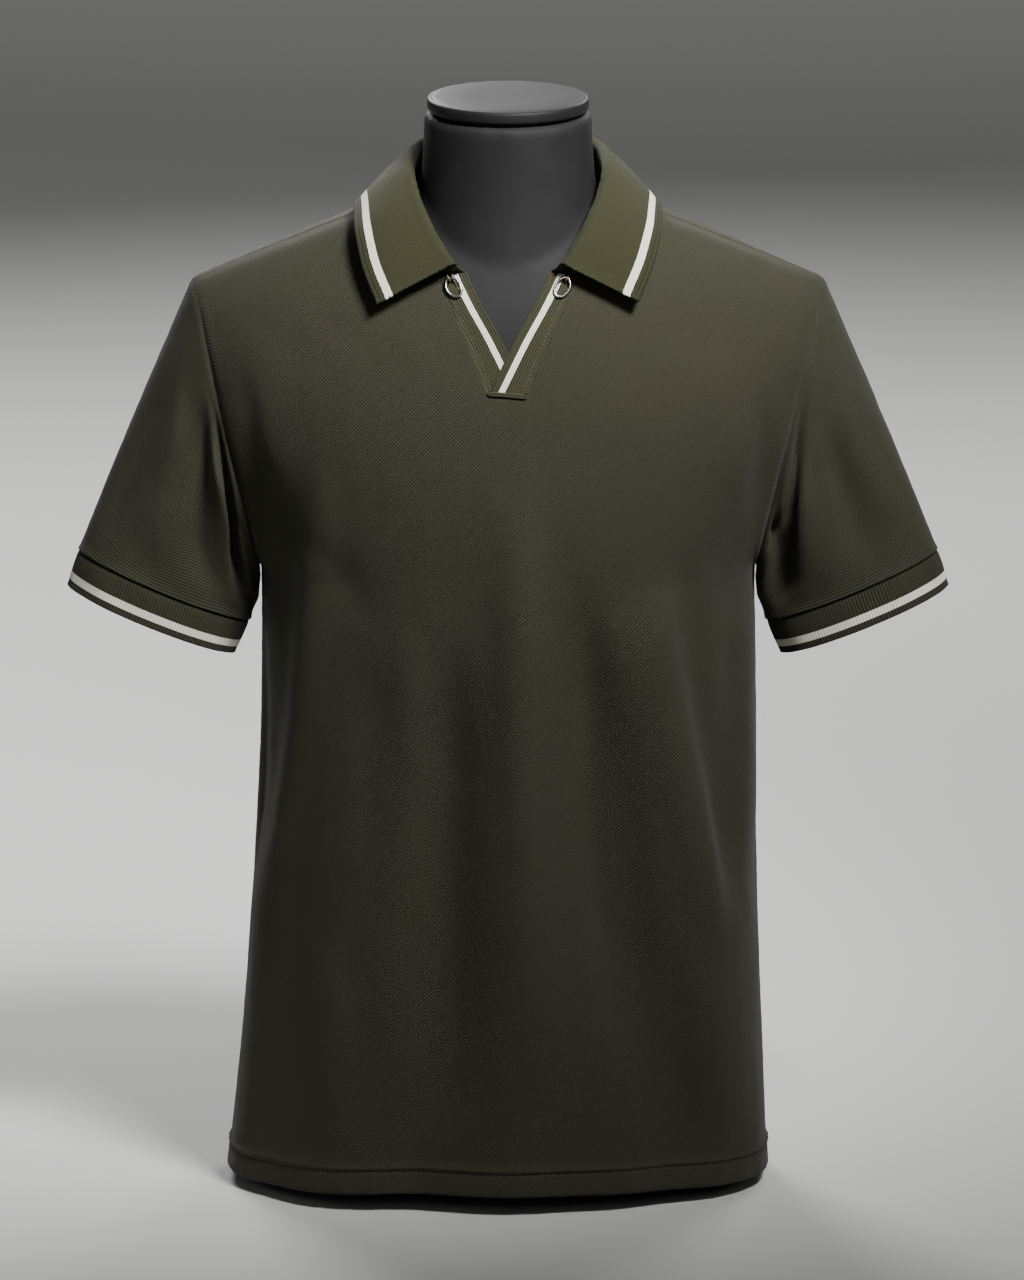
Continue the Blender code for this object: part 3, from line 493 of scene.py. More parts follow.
def cloth_piece(name, points, inner, uv, material, closed=False, outward=1.0, holes=None, uv_closed=None):
    """A thin closed wall of cloth between two grids, with the cloth's measures in metres as its UV map."""
    rows, columns = points.shape[:2]
    span = columns + 1 if closed else columns
    full_uv = np.concatenate([uv, uv_closed[:, None]], axis=1) if closed else uv
    bm = bmesh.new()
    bmesh.ops.create_grid(bm, x_segments=span - 1, y_segments=rows - 1, size=1.0)
    row_of, column_of = bm.verts.layers.int.new("row"), bm.verts.layers.int.new("column")
    measure_of = bm.loops.layers.uv.new("cloth")
    for vert in bm.verts:
        vert[column_of] = int(round((vert.co.x + 1.0) / 2.0 * (span - 1)))
        vert[row_of] = int(round((vert.co.y + 1.0) / 2.0 * (rows - 1)))
        vert.co = points[vert[row_of], vert[column_of] % columns]
    for face in bm.faces:
        for loop in face.loops:
            loop[measure_of].uv = full_uv[loop.vert[row_of], loop.vert[column_of]]
    if holes is not None:
        gone = [
            face for face in bm.faces
            if holes(min(vert[row_of] for vert in face.verts), min(vert[column_of] for vert in face.verts))
        ]
        bmesh.ops.delete(bm, geom=gone, context="FACES")
    if closed:
        bmesh.ops.remove_doubles(bm, verts=bm.verts, dist=1e-6)
    if outward < 0.0:
        bmesh.ops.reverse_faces(bm, faces=bm.faces)
    outer = list(bm.verts)
    border = [edge for edge in bm.edges if edge.is_boundary]
    copied = bmesh.ops.duplicate(bm, geom=outer + list(bm.edges) + list(bm.faces))
    twin = copied["vert_map"]
    for vert in outer:
        twin[vert].co = inner[vert[row_of], vert[column_of] % columns]
    inside = [part for part in copied["geom"] if isinstance(part, bmesh.types.BMFace)]
    bmesh.ops.reverse_faces(bm, faces=inside)
    for edge in border:
        loop = edge.link_loops[0]
        start, end = loop.vert, loop.link_loop_next.vert
        places = (loop.link_loop_next[measure_of].uv.copy(), loop[measure_of].uv.copy())
        side = bm.faces.new((end, start, twin[start], twin[end]))
        for corner, place in zip(side.loops, (places[0], places[1], places[1], places[0])):
            corner[measure_of].uv = place
    bm.verts.layers.int.remove(row_of)
    bm.verts.layers.int.remove(bm.verts.layers.int["column"])
    return add_piece(name, bm, material)


def add_object(name, data):
    made = bpy.data.objects.new(name, data)
    bpy.context.scene.collection.objects.link(made)
    return made


def add_piece(name, bm, material, sharp=None):
    mesh = bpy.data.meshes.new(name)
    bm.to_mesh(mesh)
    bm.free()
    mesh.materials.append(material)
    mesh.shade_smooth()
    if sharp is not None:
        mesh.set_sharp_from_angle(angle=math.radians(sharp))
    return add_object(name, mesh)


def finish_piece(made, body, slot, *nodes):
    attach(made, body)
    if nodes:
        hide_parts(*nodes)
    return made


# ---------------------------------------------------------------- the shirt's grids
def relax_armpits(points, steps):
    """Evens out the cloth inside the armholes' lowest part, without moving the seams."""
    across, _ = measure(points)
    from_side = np.minimum(across, across[:, -1:] - across)
    height = smoothstep((steps - 0.9) / 0.08) * smoothstep((1.34 - steps) / 0.14)
    share = height[:, None] * smoothstep(from_side / 0.007) * smoothstep((0.09 - from_side) / 0.04)
    for _ in range(60):
        even = points.copy()
        even[1:-1, 1:-1] = (points[:-2, 1:-1] + points[2:, 1:-1] + points[1:-1, :-2] + points[1:-1, 2:]) / 4.0
        points = points + (even - points) * share[..., None] * 0.8
    return points


def panel_grid(side):
    """Front (-1) or back (1), with the share of cloth that each point is from its borders."""
    steps = section_steps()
    points = np.array([folded(panel_row(s, side), side, s) for s in steps])
    points = relax_armpits(points, np.array(steps))
    notch = V_BOTTOM if side < 0 else BACK_NECK_BOTTOM
    first_open = next(i for i, s in enumerate(steps) if s >= notch - 1e-6)
    columns = points.shape[1]
    right, left = (columns - 1 - PANEL_CENTRE_CELLS) // 2, (columns - 1 + PANEL_CENTRE_CELLS) // 2
    across, down = measure(points)
    open_row = np.array(steps)[:, None] >= notch - 1e-6
    inner = np.min([np.abs(across - across[:, edge : edge + 1]) for edge in (right, left)], axis=0)
    below = np.abs(down - down[first_open])
    below[:, :right] = below[:, left + 1 :] = 1.0
    border = np.zeros(points.shape[:2], bool)
    border[:, 0] = border[:, -1] = border[-1] = True
    border[first_open:, right] = border[first_open:, left] = True
    return {
        "points": points, "steps": steps, "right": right, "left": left, "first_open": first_open,
        "closed": False, "outward": -float(side), "border": border,
        "uv": np.stack([across - across[:, columns // 2 : columns // 2 + 1], down], axis=2),
        "from_side": np.minimum(across, across[:, -1:] - across), "from_top": down[-1:] - down,
        "from_neck": np.where(open_row, inner, below), "from_hem": down,
    }


def armhole_ring(front, back, mirror):
    """The armhole's points: from the shoulder down the front, and up the back again."""
    column = 0 if mirror < 0.0 else -1
    start = next(i for i, s in enumerate(front["steps"]) if s >= 1.0 - 1e-6)
    down = front["points"][start:, column][::-1]
    up = back["points"][start:, column]
    return np.concatenate([down, up[1:-1]])


def turns_of(ring):
    """Where each point of the armhole lies round it: 0 at the shoulder, a quarter in front, a half below."""
    lengths = lengths_along(np.concatenate([ring, ring[:1]]))
    low = int(np.argmin(ring[:, 2]))
    front = lengths[: low + 1] / lengths[low] * 0.5
    back = 0.5 + (lengths[low + 1 : -1] - lengths[low]) / (lengths[-1] - lengths[low]) * 0.5
    return np.concatenate([front, back])


def cuff_ring(t, turns, mirror):
    """A ring of the cuff, from its seam, 0, to its edge, 1."""
    outer = CUFF_SEAM_OUTER.lerp(CUFF_END_OUTER, t)
    inner = CUFF_SEAM_INNER.lerp(CUFF_END_INNER, t)
    middle, half = np.array((outer + inner) / 2.0), np.array((outer - inner) / 2.0)
    angle = 2.0 * math.pi * np.asarray(turns)[:, None]
    ring = middle + half * np.cos(angle) + np.array([0.0, -CUFF_HALF_DEPTH, 0.0]) * np.sin(angle)
    return ring * np.array([mirror, 1.0, 1.0])


def sleeve_grid(front, back, mirror):
    ring = armhole_ring(front, back, mirror)
    turns = turns_of(ring)
    cuff = cuff_ring(0.0, turns, mirror)
    axis_end = (CUFF_END_OUTER + CUFF_END_INNER - CUFF_SEAM_OUTER - CUFF_SEAM_INNER).normalized()
    end_direction = np.array([axis_end.x * mirror, 0.0, axis_end.z])
    start_direction = SLEEVE_DRAW * np.array([mirror, 1.0, 1.0])
    length = np.linalg.norm(cuff - ring, axis=1, keepdims=True)
    under = 0.5 - 0.5 * np.cos(2.0 * math.pi * turns[:, None])
    reach = length * (0.8 - 0.2 * under)
    shares = graded(SLEEVE_ROWS, 0.2, tight_start=True)
    rows = []
    for t in shares:
        row = cubic(t, ring, reach * start_direction, cuff, length * end_direction)
        rows.append(moved(row, unit(row - row.mean(axis=0)), sleeve_fold(turns, t)))
    points = np.array(rows)
    across, down = measure(points)
    border = np.zeros(points.shape[:2], bool)
    border[0] = border[-1] = True
    around = np.linalg.norm(points[:, 0] - points[:, -1], axis=1)
    middle = int(np.argmin(np.abs(turns - 0.5)))
    uv = np.stack([across - across[:, middle : middle + 1], down], axis=2)
    uv_closed = uv[:, -1] + np.stack([around, down[:, 0] - down[:, -1]], axis=1)
    return {
        "points": points, "closed": True, "outward": mirror, "border": border, "uv": uv,
        "uv_closed": uv_closed, "turns": turns, "shares": shares,
        "from_top": down, "from_end": down[-1:] - down,
    }


def sleeve_fold(turns, t):
    total = np.zeros(len(turns))
    for turn, drift, from_row, to_row, half_width, height in SLEEVE_FOLDS:
        span = (t - from_row) / (to_row - from_row)
        if 0.0 < span < 1.0:
            away = (turns - turn - drift * span + 0.5) % 1.0 - 0.5
            total += height * math.sin(math.pi * span) * bell(away, half_width)
    return total


def ripple(across, down, pitch, seed):
    """A soft unevenness between -1 and 1, the same each run."""
    a, b = across / pitch, down / pitch
    return (
        np.sin(2.1 * a + 1.3 * np.sin(1.1 * b + seed) + seed) * np.sin(0.9 * b + 0.8 * np.sin(1.7 * a - seed))
        + 0.6 * np.sin(3.7 * a - 1.9 * b + 2.0 * seed) * np.sin(2.3 * b + 1.1 * a)
    ) / 1.6


def seam_height(away, along, seed):
    """The groove of a seam, the soft ridge of its allowance beside it, and slight puckers along it."""
    pucker = 0.00022 * ripple(along, away, 0.0045, seed) * bell(away, 0.01) * (1.0 - bell(away, 0.0015))
    return 0.0004 * bell(away - 0.0052, 0.0028) - SEAM_DEPTH * bell(away, SEAM_WIDTH) + pucker


# The folded hem, as (height above the edge, how far it stands out): a ridge over a stitched groove.
HEM_RELIEF = (
    (0.0, -0.0004), (0.0009, 0.0004), (0.003, 0.0008), (0.011, 0.0007), (0.0145, 0.0006), (0.016, 0.0002),
    (0.0172, -0.0003), (0.0183, 0.0009), (0.0194, 0.0018), (0.0205, 0.0014), (0.0218, 0.0001), (0.024, 0.0),
)


def dress_panel(grid, normals, creases, seed):
    points, uv = grid["points"], grid["uv"]
    away = np.minimum(np.minimum(grid["from_side"], grid["from_top"]), grid["from_neck"])
    height = crease_height(points[..., 0], points[..., 2], creases) * smoothstep(away / 0.014)
    height += 0.00035 * ripple(uv[..., 0], uv[..., 1], 0.019, seed) * smoothstep(away / 0.01)
    height += seam_height(grid["from_side"], uv[..., 1], seed)
    height += seam_height(grid["from_top"], uv[..., 0], seed + 1.0)
    relief = read_pairs(HEM_RELIEF, grid["from_hem"])
    wave = 0.0006 * ripple(uv[..., 0], uv[..., 1] * 0.2, 0.016, seed + 2.0)
    height += relief + wave * bell(grid["from_hem"], 0.022) * smoothstep(grid["from_side"] / 0.01)
    thickness = PIQUE + relief + 0.0008 * (grid["from_hem"] < HEM_HEIGHT)
    return moved(points, normals, height), moved(points, normals, height - thickness)


def dress_sleeve(grid, normals, creases, seed):
    across = (grid["turns"][None, :] - 0.5) * SLEEVE_AROUND + 0.0 * grid["from_top"]
    down = grid["shares"][:, None] * SLEEVE_LENGTH + 0.0 * across
    quiet = smoothstep(grid["from_top"] / 0.012) * smoothstep(grid["from_end"] / 0.008)
    height = crease_height(across, down, creases) * quiet
    height += 0.00035 * ripple(grid["uv"][..., 0], grid["uv"][..., 1], 0.017, seed) * quiet
    height += seam_height(grid["from_top"], grid["uv"][..., 0], seed)
    height += 0.0009 * bell(grid["from_end"], 0.0035)
    return moved(grid["points"], normals, height), moved(grid["points"], normals, height - PIQUE)


# ---------------------------------------------------------------- cuffs, collar and bands
def make_cuff(name, mirror, material):
    """A knitted band in fine ribs, tucked in a little where the sleeve is sewn to it."""
    count = CUFF_RIBS * CELLS_PER_RIB
    turns = np.arange(count) / count
    shares = graded(CUFF_ROWS, CUFF_DEPTH, tight_start=True)
    points = np.array([cuff_ring(t, turns, mirror) for t in shares])
    normals = unit(grid_normals(points, True, mirror))
    depth = shares[:, None] * CUFF_DEPTH
    rib = 0.00012 * np.cos(2.0 * math.pi * turns * CUFF_RIBS)[None, :] * smoothstep(depth / 0.004)
    roll = 0.0005 * bell(CUFF_DEPTH - depth, 0.0022)
    bow = 0.0006 * np.sin(math.pi * np.clip(depth / CUFF_DEPTH, 0.0, 1.0))
    tuck = -0.0007 * bell(depth, 0.0026)
    across = turns[None, :] * CUFF_AROUND + 0.0 * depth
    wave = 0.0005 * ripple(across, depth, 0.022, 3.0 + mirror)
    smooth = moved(points, normals, roll + bow + tuck + wave * smoothstep(depth / 0.006))
    points, inner = moved(smooth, normals, rib), smooth - normals * RIB
    uv = np.stack([across, CUFF_DEPTH - depth + 0.0 * across], axis=2)
    uv_closed = np.stack([np.full(len(shares), CUFF_AROUND), CUFF_DEPTH - depth[:, 0]], axis=1)
    return cloth_piece(name, points, inner, uv, material, closed=True, outward=mirror, uv_closed=uv_closed)


def collar_path(front, back):
    """Where the collar is sewn on, from the right front end round the back to the left one."""
    steps = np.array(front["steps"])
    from_corner = steps >= NECK_CORNER - 1e-6
    from_back = steps >= BACK_NECK_BOTTOM - 1e-6
    right = front["points"][from_corner, front["right"]]
    left = front["points"][from_corner, front["left"]]
    back_right = back["points"][from_back, back["right"]]
    back_left = back["points"][from_back, back["left"]]
    bottom = back["points"][back["first_open"], back["right"] + 1 : back["left"]]
    edge_x = body_row(NECK_CORNER)["edge_x"]
    w = (opening_at(-1, NECK_CORNER) - BAND_TOP_WIDTH * np.array([0.92, 0.5])) / edge_x
    start, end = body_point(NECK_CORNER, -1, -w), body_point(NECK_CORNER, -1, w)[::-1]
    return np.concatenate([start, right, back_right[::-1][1:], bottom, back_left, left[::-1][1:], end])


def soften(section, softness):
    """Rounds a section's bend off; its two ends stay."""
    lengths = lengths_along(section)
    count = 241
    fine = resample(section, np.linspace(0.0, 1.0, count))
    step = lengths[-1] / (count - 1)
    reach = int(math.ceil(2.5 * softness / step))
    weights = bell(np.arange(-reach, reach + 1) * step, softness)
    weights /= weights.sum()
    padded = np.concatenate([
        2.0 * fine[:1] - fine[1 : reach + 1][::-1], fine, 2.0 * fine[-1:] - fine[-reach - 1 : -1][::-1],
    ])
    return np.stack([np.convolve(padded[:, i], weights, mode="valid") for i in range(3)], axis=1)


def collar_section(point, mirror, turn):
    """From where the collar is sewn on, over its fold, to the edge of its leaf."""
    row = read_table(COLLAR_COLUMNS, COLLAR_SECTIONS, turn)
    up = np.array([0.0, 0.0, 1.0])
    fold = np.array([mirror * row["fold_x"], row["fold_y"], row["fold_z"] + FOLD_LIFT])
    edge = np.array([mirror * row["edge_x"], row["edge_y"], row["edge_z"]])
    out = unit((edge - fold) * np.array([1.0, 1.0, 0.0]))
    near_end = bell(turn, 0.07)
    from_back = math.sqrt(max((1.0 - turn) ** 2 - NAPE_ROUNDING**2, 0.0))
    foot = point + up * (SEAM_GAP + 0.0004) + np.array([0.0, 0.0026, -0.001]) * near_end
    centre = fold - up * FOLD_RADIUS
    section = [foot + (centre - out * FOLD_RADIUS - foot) * i / 6 for i in range(6)]
    for i in range(9):
        angle = math.pi * i / 8
        section.append(centre + FOLD_RADIUS * (up * math.sin(angle) - out * math.cos(angle)))
    start = centre + out * FOLD_RADIUS
    for t in np.linspace(0.0, 1.0, 25)[1:]:
        rise = math.sin(math.pi * t) * (1.0 - 0.75 * near_end)
        wave = LEAF_WAVE * math.sin(LEAF_WAVE_RATE * mirror * from_back) * t * t
        curl = LEAF_CURL * near_end * t**3
        lift = LEAF_RISE * rise + wave + curl
        section.append(start + (edge - start) * t + up * lift + out * LEAF_BULGE * rise)
    return soften(np.array(section), FOLD_SOFTNESS)


def make_collar(front, back, material):
    """A stand, a soft fold and a leaf over the shoulders; its front ends are cut and a little ragged."""
    base = resample(collar_path(front, back), graded(COLLAR_CELLS, 0.5, tight_start=True))
    along = lengths_along(base) / lengths_along(base)[-1]
    shares = np.concatenate([
        np.linspace(0.0, STAND_SHARE, STAND_CELLS, endpoint=False),
        STAND_SHARE + (1.0 - STAND_SHARE) * graded(LEAF_CELLS, 0.055),
    ])
    rows, depths = [], []
    for point, share in zip(base, along):
        turn = max(1.0 - math.hypot(1.0 - 2.0 * min(share, 1.0 - share), NAPE_ROUNDING), 0.0)
        section = collar_section(point, -1.0 if share < 0.5 else 1.0, turn)
        rows.append(resample(section, shares))
        depths.append(lengths_along(section)[-1] * (1.0 - shares))
    points, depths = np.array(rows), np.array(depths)
    for end, inside in ((0, 3), (-1, -4)):
        ragged = 0.00035 * np.sin(np.arange(points.shape[1]) * 2.4 + end) + 0.0002
        points[end] = moved(points[end], unit(points[end] - points[inside]), ragged)
    normals = unit(grid_normals(points, False, 1.0))
    across = along[:, None] * COLLAR_LENGTH + 0.0 * depths
    height = 0.0003 * ripple(across, depths, 0.012, 4.4) + 0.00035 * bell(depths, 0.0012)
    points, inner = moved(points, normals, height), points - normals * RIB
    return cloth_piece("collar_knit", points, inner, np.stack([across, depths], axis=2), material)


def band_points(mirror, up_shares, shares):
    """A band's places, with how far each is from its inner edge and from its seam."""
    rows, from_inner, from_seam = [], [], []
    for up in up_shares:
        s = V_BOTTOM + (NECK_CORNER - V_BOTTOM) * up
        edge_x = body_row(s)["edge_x"]
        full = BAND_BOTTOM_WIDTH + (BAND_TOP_WIDTH - BAND_BOTTOM_WIDTH) * up
        width = min(full, 0.02 + 0.0256 * up if mirror < 0.0 else 0.027 + 0.004 * up)
        start = opening_at(-1, s)
        w = mirror * (start - width * shares) / edge_x
        points = folded(body_point(s, -1, w), -1, s)
        if mirror < 0.0:
            lap = BAND_LAP * np.clip(shares / 0.08, 0.0, 1.0) * min(1.0, max(0.0, 2.4 - 3.0 * up))
            points[:, 1] += lap
        rows.append(points)
        from_inner.append(full - width * shares)
        from_seam.append(width * shares)
    return np.array(rows), np.array(from_inner), np.array(from_seam)


def make_band(name, mirror, material):
    """A ribbed band, doubled at its inner edge, topstitched along its seam."""
    shares = graded(BAND_CELLS, 0.024, tight_start=True)
    up_shares = graded(BAND_ROWS, 0.16, tight_start=True)
    points, from_inner, from_seam = band_points(mirror, up_shares, shares)
    normals = unit(grid_normals(points, False, -mirror))
    ribbed = smoothstep((from_inner - 0.0118) / 0.0008)
    ribbed = ribbed + 0.5 * (1.0 - smoothstep((from_inner - 0.0052) / 0.0008))
    height = 0.00016 * ribbed * np.cos(2.0 * math.pi * from_inner / BAND_RIB)
    height += 0.0004 * smoothstep(from_seam / 0.0012) + 0.0003 * bell(from_inner, 0.0016)
    height -= 0.00035 * bell(from_inner - 0.0116, 0.0004)
    points, inner = moved(points, normals, height), points - normals * BAND
    lengths = lengths_along(points[:, 0])
    uv = np.stack([lengths[:, None] + 0.0 * from_inner, from_inner], axis=2)
    return cloth_piece(name, points, inner, uv, material, outward=-mirror), points, normals


# ---------------------------------------------------------------- stitches
def stitch_row(bm, path, normals, length, gap, thickness):
    """Short stitches of thread along a path on the cloth."""
    lengths = lengths_along(path)
    at = gap / 2.0
    while at + length < lengths[-1]:
        ends = at_length(path, lengths, np.array([at, at + length]))
        along = Vector(ends[1] - ends[0]).normalized()
        out = Vector(at_length(normals, lengths, at + length / 2.0)).normalized()
        side = along.cross(out).normalized()
        out = side.cross(along).normalized()
        middle = Vector((ends[0] + ends[1]) / 2.0) + out * thickness * (0.5 - STITCH_SUNK)
        turn = Matrix((along, side, out)).transposed().to_4x4()
        size = Matrix.Diagonal((length / 2.0, thickness / 2.0, thickness / 2.0, 1.0))
        place = Matrix.Translation(middle) @ turn @ size
        bmesh.ops.create_icosphere(bm, subdivisions=1, radius=1.0, matrix=place)
        at += length + gap


def make_lip(material):
    """The short knitted bar that closes the placket, across the V's lowest point."""
    sides, steps = LIP_SIDES, LIP_STEPS
    rings = []
    for i in range(steps + 1):
        share = i / steps
        x = LIP_FROM + (LIP_TO - LIP_FROM) * share
        place, normal, down = cloth_frame(LIP_SECTION - LIP_TILT * share, x)
        round_end = math.sqrt(max(1.0 - abs(2.0 * share - 1.0) ** 8, 0.0)) * 0.75 + 0.25
        ring = []
        for k in range(sides):
            angle = 2.0 * math.pi * k / sides
            ripple_up = 1.0 + 0.05 * math.sin(9.0 * share + 1.0)
            ring.append(
                place + down * (LIP_HALF_WIDTH * round_end * ripple_up * math.cos(angle))
                + normal * (LIP_HALF_DEPTH * (1.35 + round_end * math.sin(angle)))
            )
        rings.append(ring)
    bm = bmesh.new()
    measure_of = bm.loops.layers.uv.new("cloth")
    verts = [[bm.verts.new(place) for place in ring] for ring in rings]
    for i in range(steps):
        for k in range(sides):
            corners = ((i, k), (i, (k + 1) % sides), (i + 1, (k + 1) % sides), (i + 1, k))
            face = bm.faces.new([verts[a][b] for a, b in corners])
            for loop, (a, b) in zip(face.loops, corners):
                loop[measure_of].uv = (a * 0.001, 0.014 + 0.0006 * (b if b or k + 1 < sides else sides))
    bm.faces.new(verts[0][::-1])
    bm.faces.new(verts[-1])
    bmesh.ops.recalc_face_normals(bm, faces=bm.faces)
    return add_piece("placket_lip", bm, material)


# ---------------------------------------------------------------- rings and thread
def cloth_frame(s, x):
    """A place on the front's outer face, with the face's normal and its downward direction."""
    edge_x = body_row(s)["edge_x"]
    here = Vector(body_point(s, -1, np.array([x / edge_x]))[0])
    below = Vector(body_point(s - 0.01, -1, np.array([x / edge_x]))[0])
    beside = Vector(body_point(s, -1, np.array([(x + 0.001) / edge_x]))[0])
    down = (below - here).normalized()
    normal = down.cross(here - beside).normalized()
    return here, normal * (1.0 if normal.y < 0.0 else -1.0), down


def spin_round(bm, geom, steps):
    bmesh.ops.spin(bm, geom=geom, cent=(0, 0, 0), axis=(0, 0, 1), dvec=(0, 0, 0),
                   angle=2.0 * math.pi, steps=steps, use_merge=True)


def oval_tube(bm, centre, half_u, half_v, u, v, wire, segments, sides, flatness=1.0):
    """A closed oval of wire, in the plane of u and v."""
    across = u.cross(v).normalized()
    before = set(bm.verts)
    upright = Matrix.Translation((half_u, 0.0, 0.0)) @ Matrix.Rotation(math.pi / 2.0, 4, "X")
    circle = bmesh.ops.create_circle(bm, segments=sides, radius=wire / 2.0, matrix=upright)["verts"]
    edges = list({edge for vert in circle for edge in vert.link_edges})
    spin_round(bm, circle + edges, segments)
    verts = [vert for vert in bm.verts if vert not in before]
    for vert in verts:
        angle = math.atan2(vert.co.y, vert.co.x)
        beyond, height = math.hypot(vert.co.x, vert.co.y) - half_u, vert.co.z * flatness
        outward = (u * (math.cos(angle) / half_u) + v * (math.sin(angle) / half_v)).normalized()
        path = centre + u * (half_u * math.cos(angle)) + v * (half_v * math.sin(angle))
        vert.co = path + outward * beyond + across * height
    faces = list({face for vert in verts for face in vert.link_faces})
    bmesh.ops.recalc_face_normals(bm, faces=faces)


def ring_places(mirror):
    place, normal, down = cloth_frame(LOOP_SECTION, LOOP_X * mirror)
    centre = place + normal * (SEAM_GAP + LOOP_THREAD / 2.0 + LOOP_RADIUS)
    turn = Matrix.Rotation(RING_TURN * mirror, 3, normal)
    along = (turn @ down).normalized()
    if along.x * mirror > 0.0:
        along = (turn.inverted() @ down).normalized()
    across = along.cross(normal).normalized()
    hang = (along * math.cos(RING_LEAN) - normal * math.sin(RING_LEAN)).normalized()
    return centre, normal, along, across, hang


# ---------------------------------------------------------------- dress form
def form_ring(s):
    w = 1.0 - (1.0 - np.linspace(0.0, 1.0, 400)) ** 2
    half = np.concatenate([body_point(s, -1, w), body_point(s, 1, w)[::-1]])
    half = resample(half, np.linspace(0.0, 1.0, FORM_CELLS + 1))
    half[:, 0] -= half[0, 0]
    return np.concatenate([half, half[1:-1][::-1] * np.array([-1.0, 1.0, 1.0])])


def lean_of_neck():
    return (
        Matrix.Translation((0.0, NECK_CENTRE_Y, NECK_TILT_Z)) @ Matrix.Rotation(NECK_TILT, 4, "X")
        @ Matrix.Translation((0.0, 0.0, -NECK_TILT_Z))
    )


def turned(bm, profile, steps):
    """A profile of radius and height turned about the neck's leaning axis."""
    verts = [bm.verts.new((radius, 0.0, height)) for radius, height in profile]
    edges = [bm.edges.new(pair) for pair in zip(verts, verts[1:])]
    before = set(bm.verts) - set(verts)
    spin_round(bm, verts + edges, steps)
    new = [vert for vert in bm.verts if vert not in before]
    bmesh.ops.remove_doubles(bm, verts=new, dist=1e-5)
    new = [vert for vert in bm.verts if vert not in before]
    bmesh.ops.transform(bm, matrix=lean_of_neck(), verts=new)
    bmesh.ops.recalc_face_normals(bm, faces=bm.faces)


def make_form(material):
    """Torso and neck in one smooth skin, a little inside the shirt."""
    steps = [0.0, 0.06, 0.12, 0.18, 0.25, 0.31, 0.38, 0.44, 0.5, 0.56, 0.62, 0.68, 0.75, 0.81, 0.88, 0.94]
    steps += [1.0 + 0.04 * i for i in range(20)] + [1.8, 1.83, 1.86, 1.89, 1.92, 1.95, 1.975, 1.99, 2.0]
    points = np.array([form_ring(s) for s in steps])
    normals = unit(grid_normals(points, True, 1.0))
    normals[-1] = (0.0, 0.0, 1.0)
    bm = bmesh.new()
    rings = []
    for row, normal, s in zip(points, normals, steps):
        clear = (read_pairs(FORM_CLEARANCE, s) + PIQUE + 0.0004) * (RIDGE_MITRE if s == 2.0 else 1.0)
        rings.append([bm.verts.new(point) for point in row - normal * clear])
    base = []
    for vert in rings[0]:
        shrink = 1.0 - BASE_ROUND / math.hypot(vert.co.x, vert.co.y)
        base.append(bm.verts.new((vert.co.x * shrink, vert.co.y * shrink, 0.0)))
    loops = []
    for ring in [base] + rings:
        loops.append([bm.edges.new((ring[i], ring[(i + 1) % len(ring)])) for i in range(len(ring))])
    for low, high in zip(loops, loops[1:]):
        bmesh.ops.bridge_loops(bm, edges=low + high)
    bm.faces.new(base[::-1])
    bmesh.ops.remove_doubles(bm, verts=bm.verts, dist=1e-4)
    bmesh.ops.holes_fill(bm, edges=[edge for edge in bm.edges if edge.is_boundary], sides=0)
    bmesh.ops.recalc_face_normals(bm, faces=bm.faces)
    turned(bm, NECK_PROFILE, 72)
    made = add_piece("form_skin", bm, material)
    skin = made.modifiers.new("one skin", "REMESH")
    skin.mode = "VOXEL"
    skin.voxel_size = FORM_VOXEL
    skin.use_smooth_shade = True
    even = made.modifiers.new("even", "SMOOTH")
    even.factor = 0.5
    even.iterations = 6
    return made


CAP_PROFILE = (
    (0.0, 0.7983), (0.0548, 0.7983), (0.0556, 0.7986), (0.056, 0.7992), (0.0562, 0.8), (0.058, 0.8003),
    (0.0586, 0.801), (0.0588, 0.8022), (0.0588, 0.8062), (0.0585, 0.8076), (0.0577, 0.8086), (0.0566, 0.8089),
    (0.0552, 0.8088), (0.0546, 0.809), (0.052, 0.8094), (0.03, 0.8095), (0.0, 0.8095),
)


def make_cap(material):
    bm = bmesh.new()
    turned(bm, CAP_PROFILE, 96)
    return add_piece("neck_cap", bm, material, sharp=50.0)


# ---------------------------------------------------------------- materials
def new_group(name, vector, numbers, results):
    """A group that takes one vector and these numbers, and gives these other numbers."""
    group = bpy.data.node_groups.new(name, "ShaderNodeTree")
    group.interface.new_socket(vector, in_out="INPUT", socket_type="NodeSocketVector")
    for labels, way in ((numbers, "INPUT"), (results, "OUTPUT")):
        for label in labels:
            group.interface.new_socket(label, in_out=way, socket_type="NodeSocketFloat")
    return group, group.nodes.new("NodeGroupInput").outputs, group.nodes.new("NodeGroupOutput").inputs


def put(socket, value, links):
    if isinstance(value, bpy.types.NodeSocket):
        links.new(value, socket)
    else:
        socket.default_value = value


def calc(tree, operation, *values):
    node = tree.nodes.new("ShaderNodeMath")
    node.operation = operation
    for index, value in enumerate(values):
        put(node.inputs[index], value, tree.links)
    return node.outputs[0]


def blend_colours(tree, factor, first, second):
    node = tree.nodes.new("ShaderNodeMix")
    node.data_type = "RGBA"
    put(node.inputs["Factor"], factor, tree.links)
    for label, colour in (("A", first), ("B", second)):
        value = colour if isinstance(colour, bpy.types.NodeSocket) else (*colour, 1.0)
        put(node.inputs[label], value, tree.links)
    return node.outputs["Result"]


def tint(tree, colour, mask, strength, towards):
    return blend_colours(tree, calc(tree, "MULTIPLY", mask, strength), colour, towards)


def noise(tree, vector, scale, detail=2.0, roughness=0.5):
    node = tree.nodes.new("ShaderNodeTexNoise")
    put(node.inputs["Vector"], vector, tree.links)
    put(node.inputs["Scale"], scale, tree.links)
    node.inputs["Detail"].default_value = detail
    node.inputs["Roughness"].default_value = roughness
    return node.outputs["Fac"]


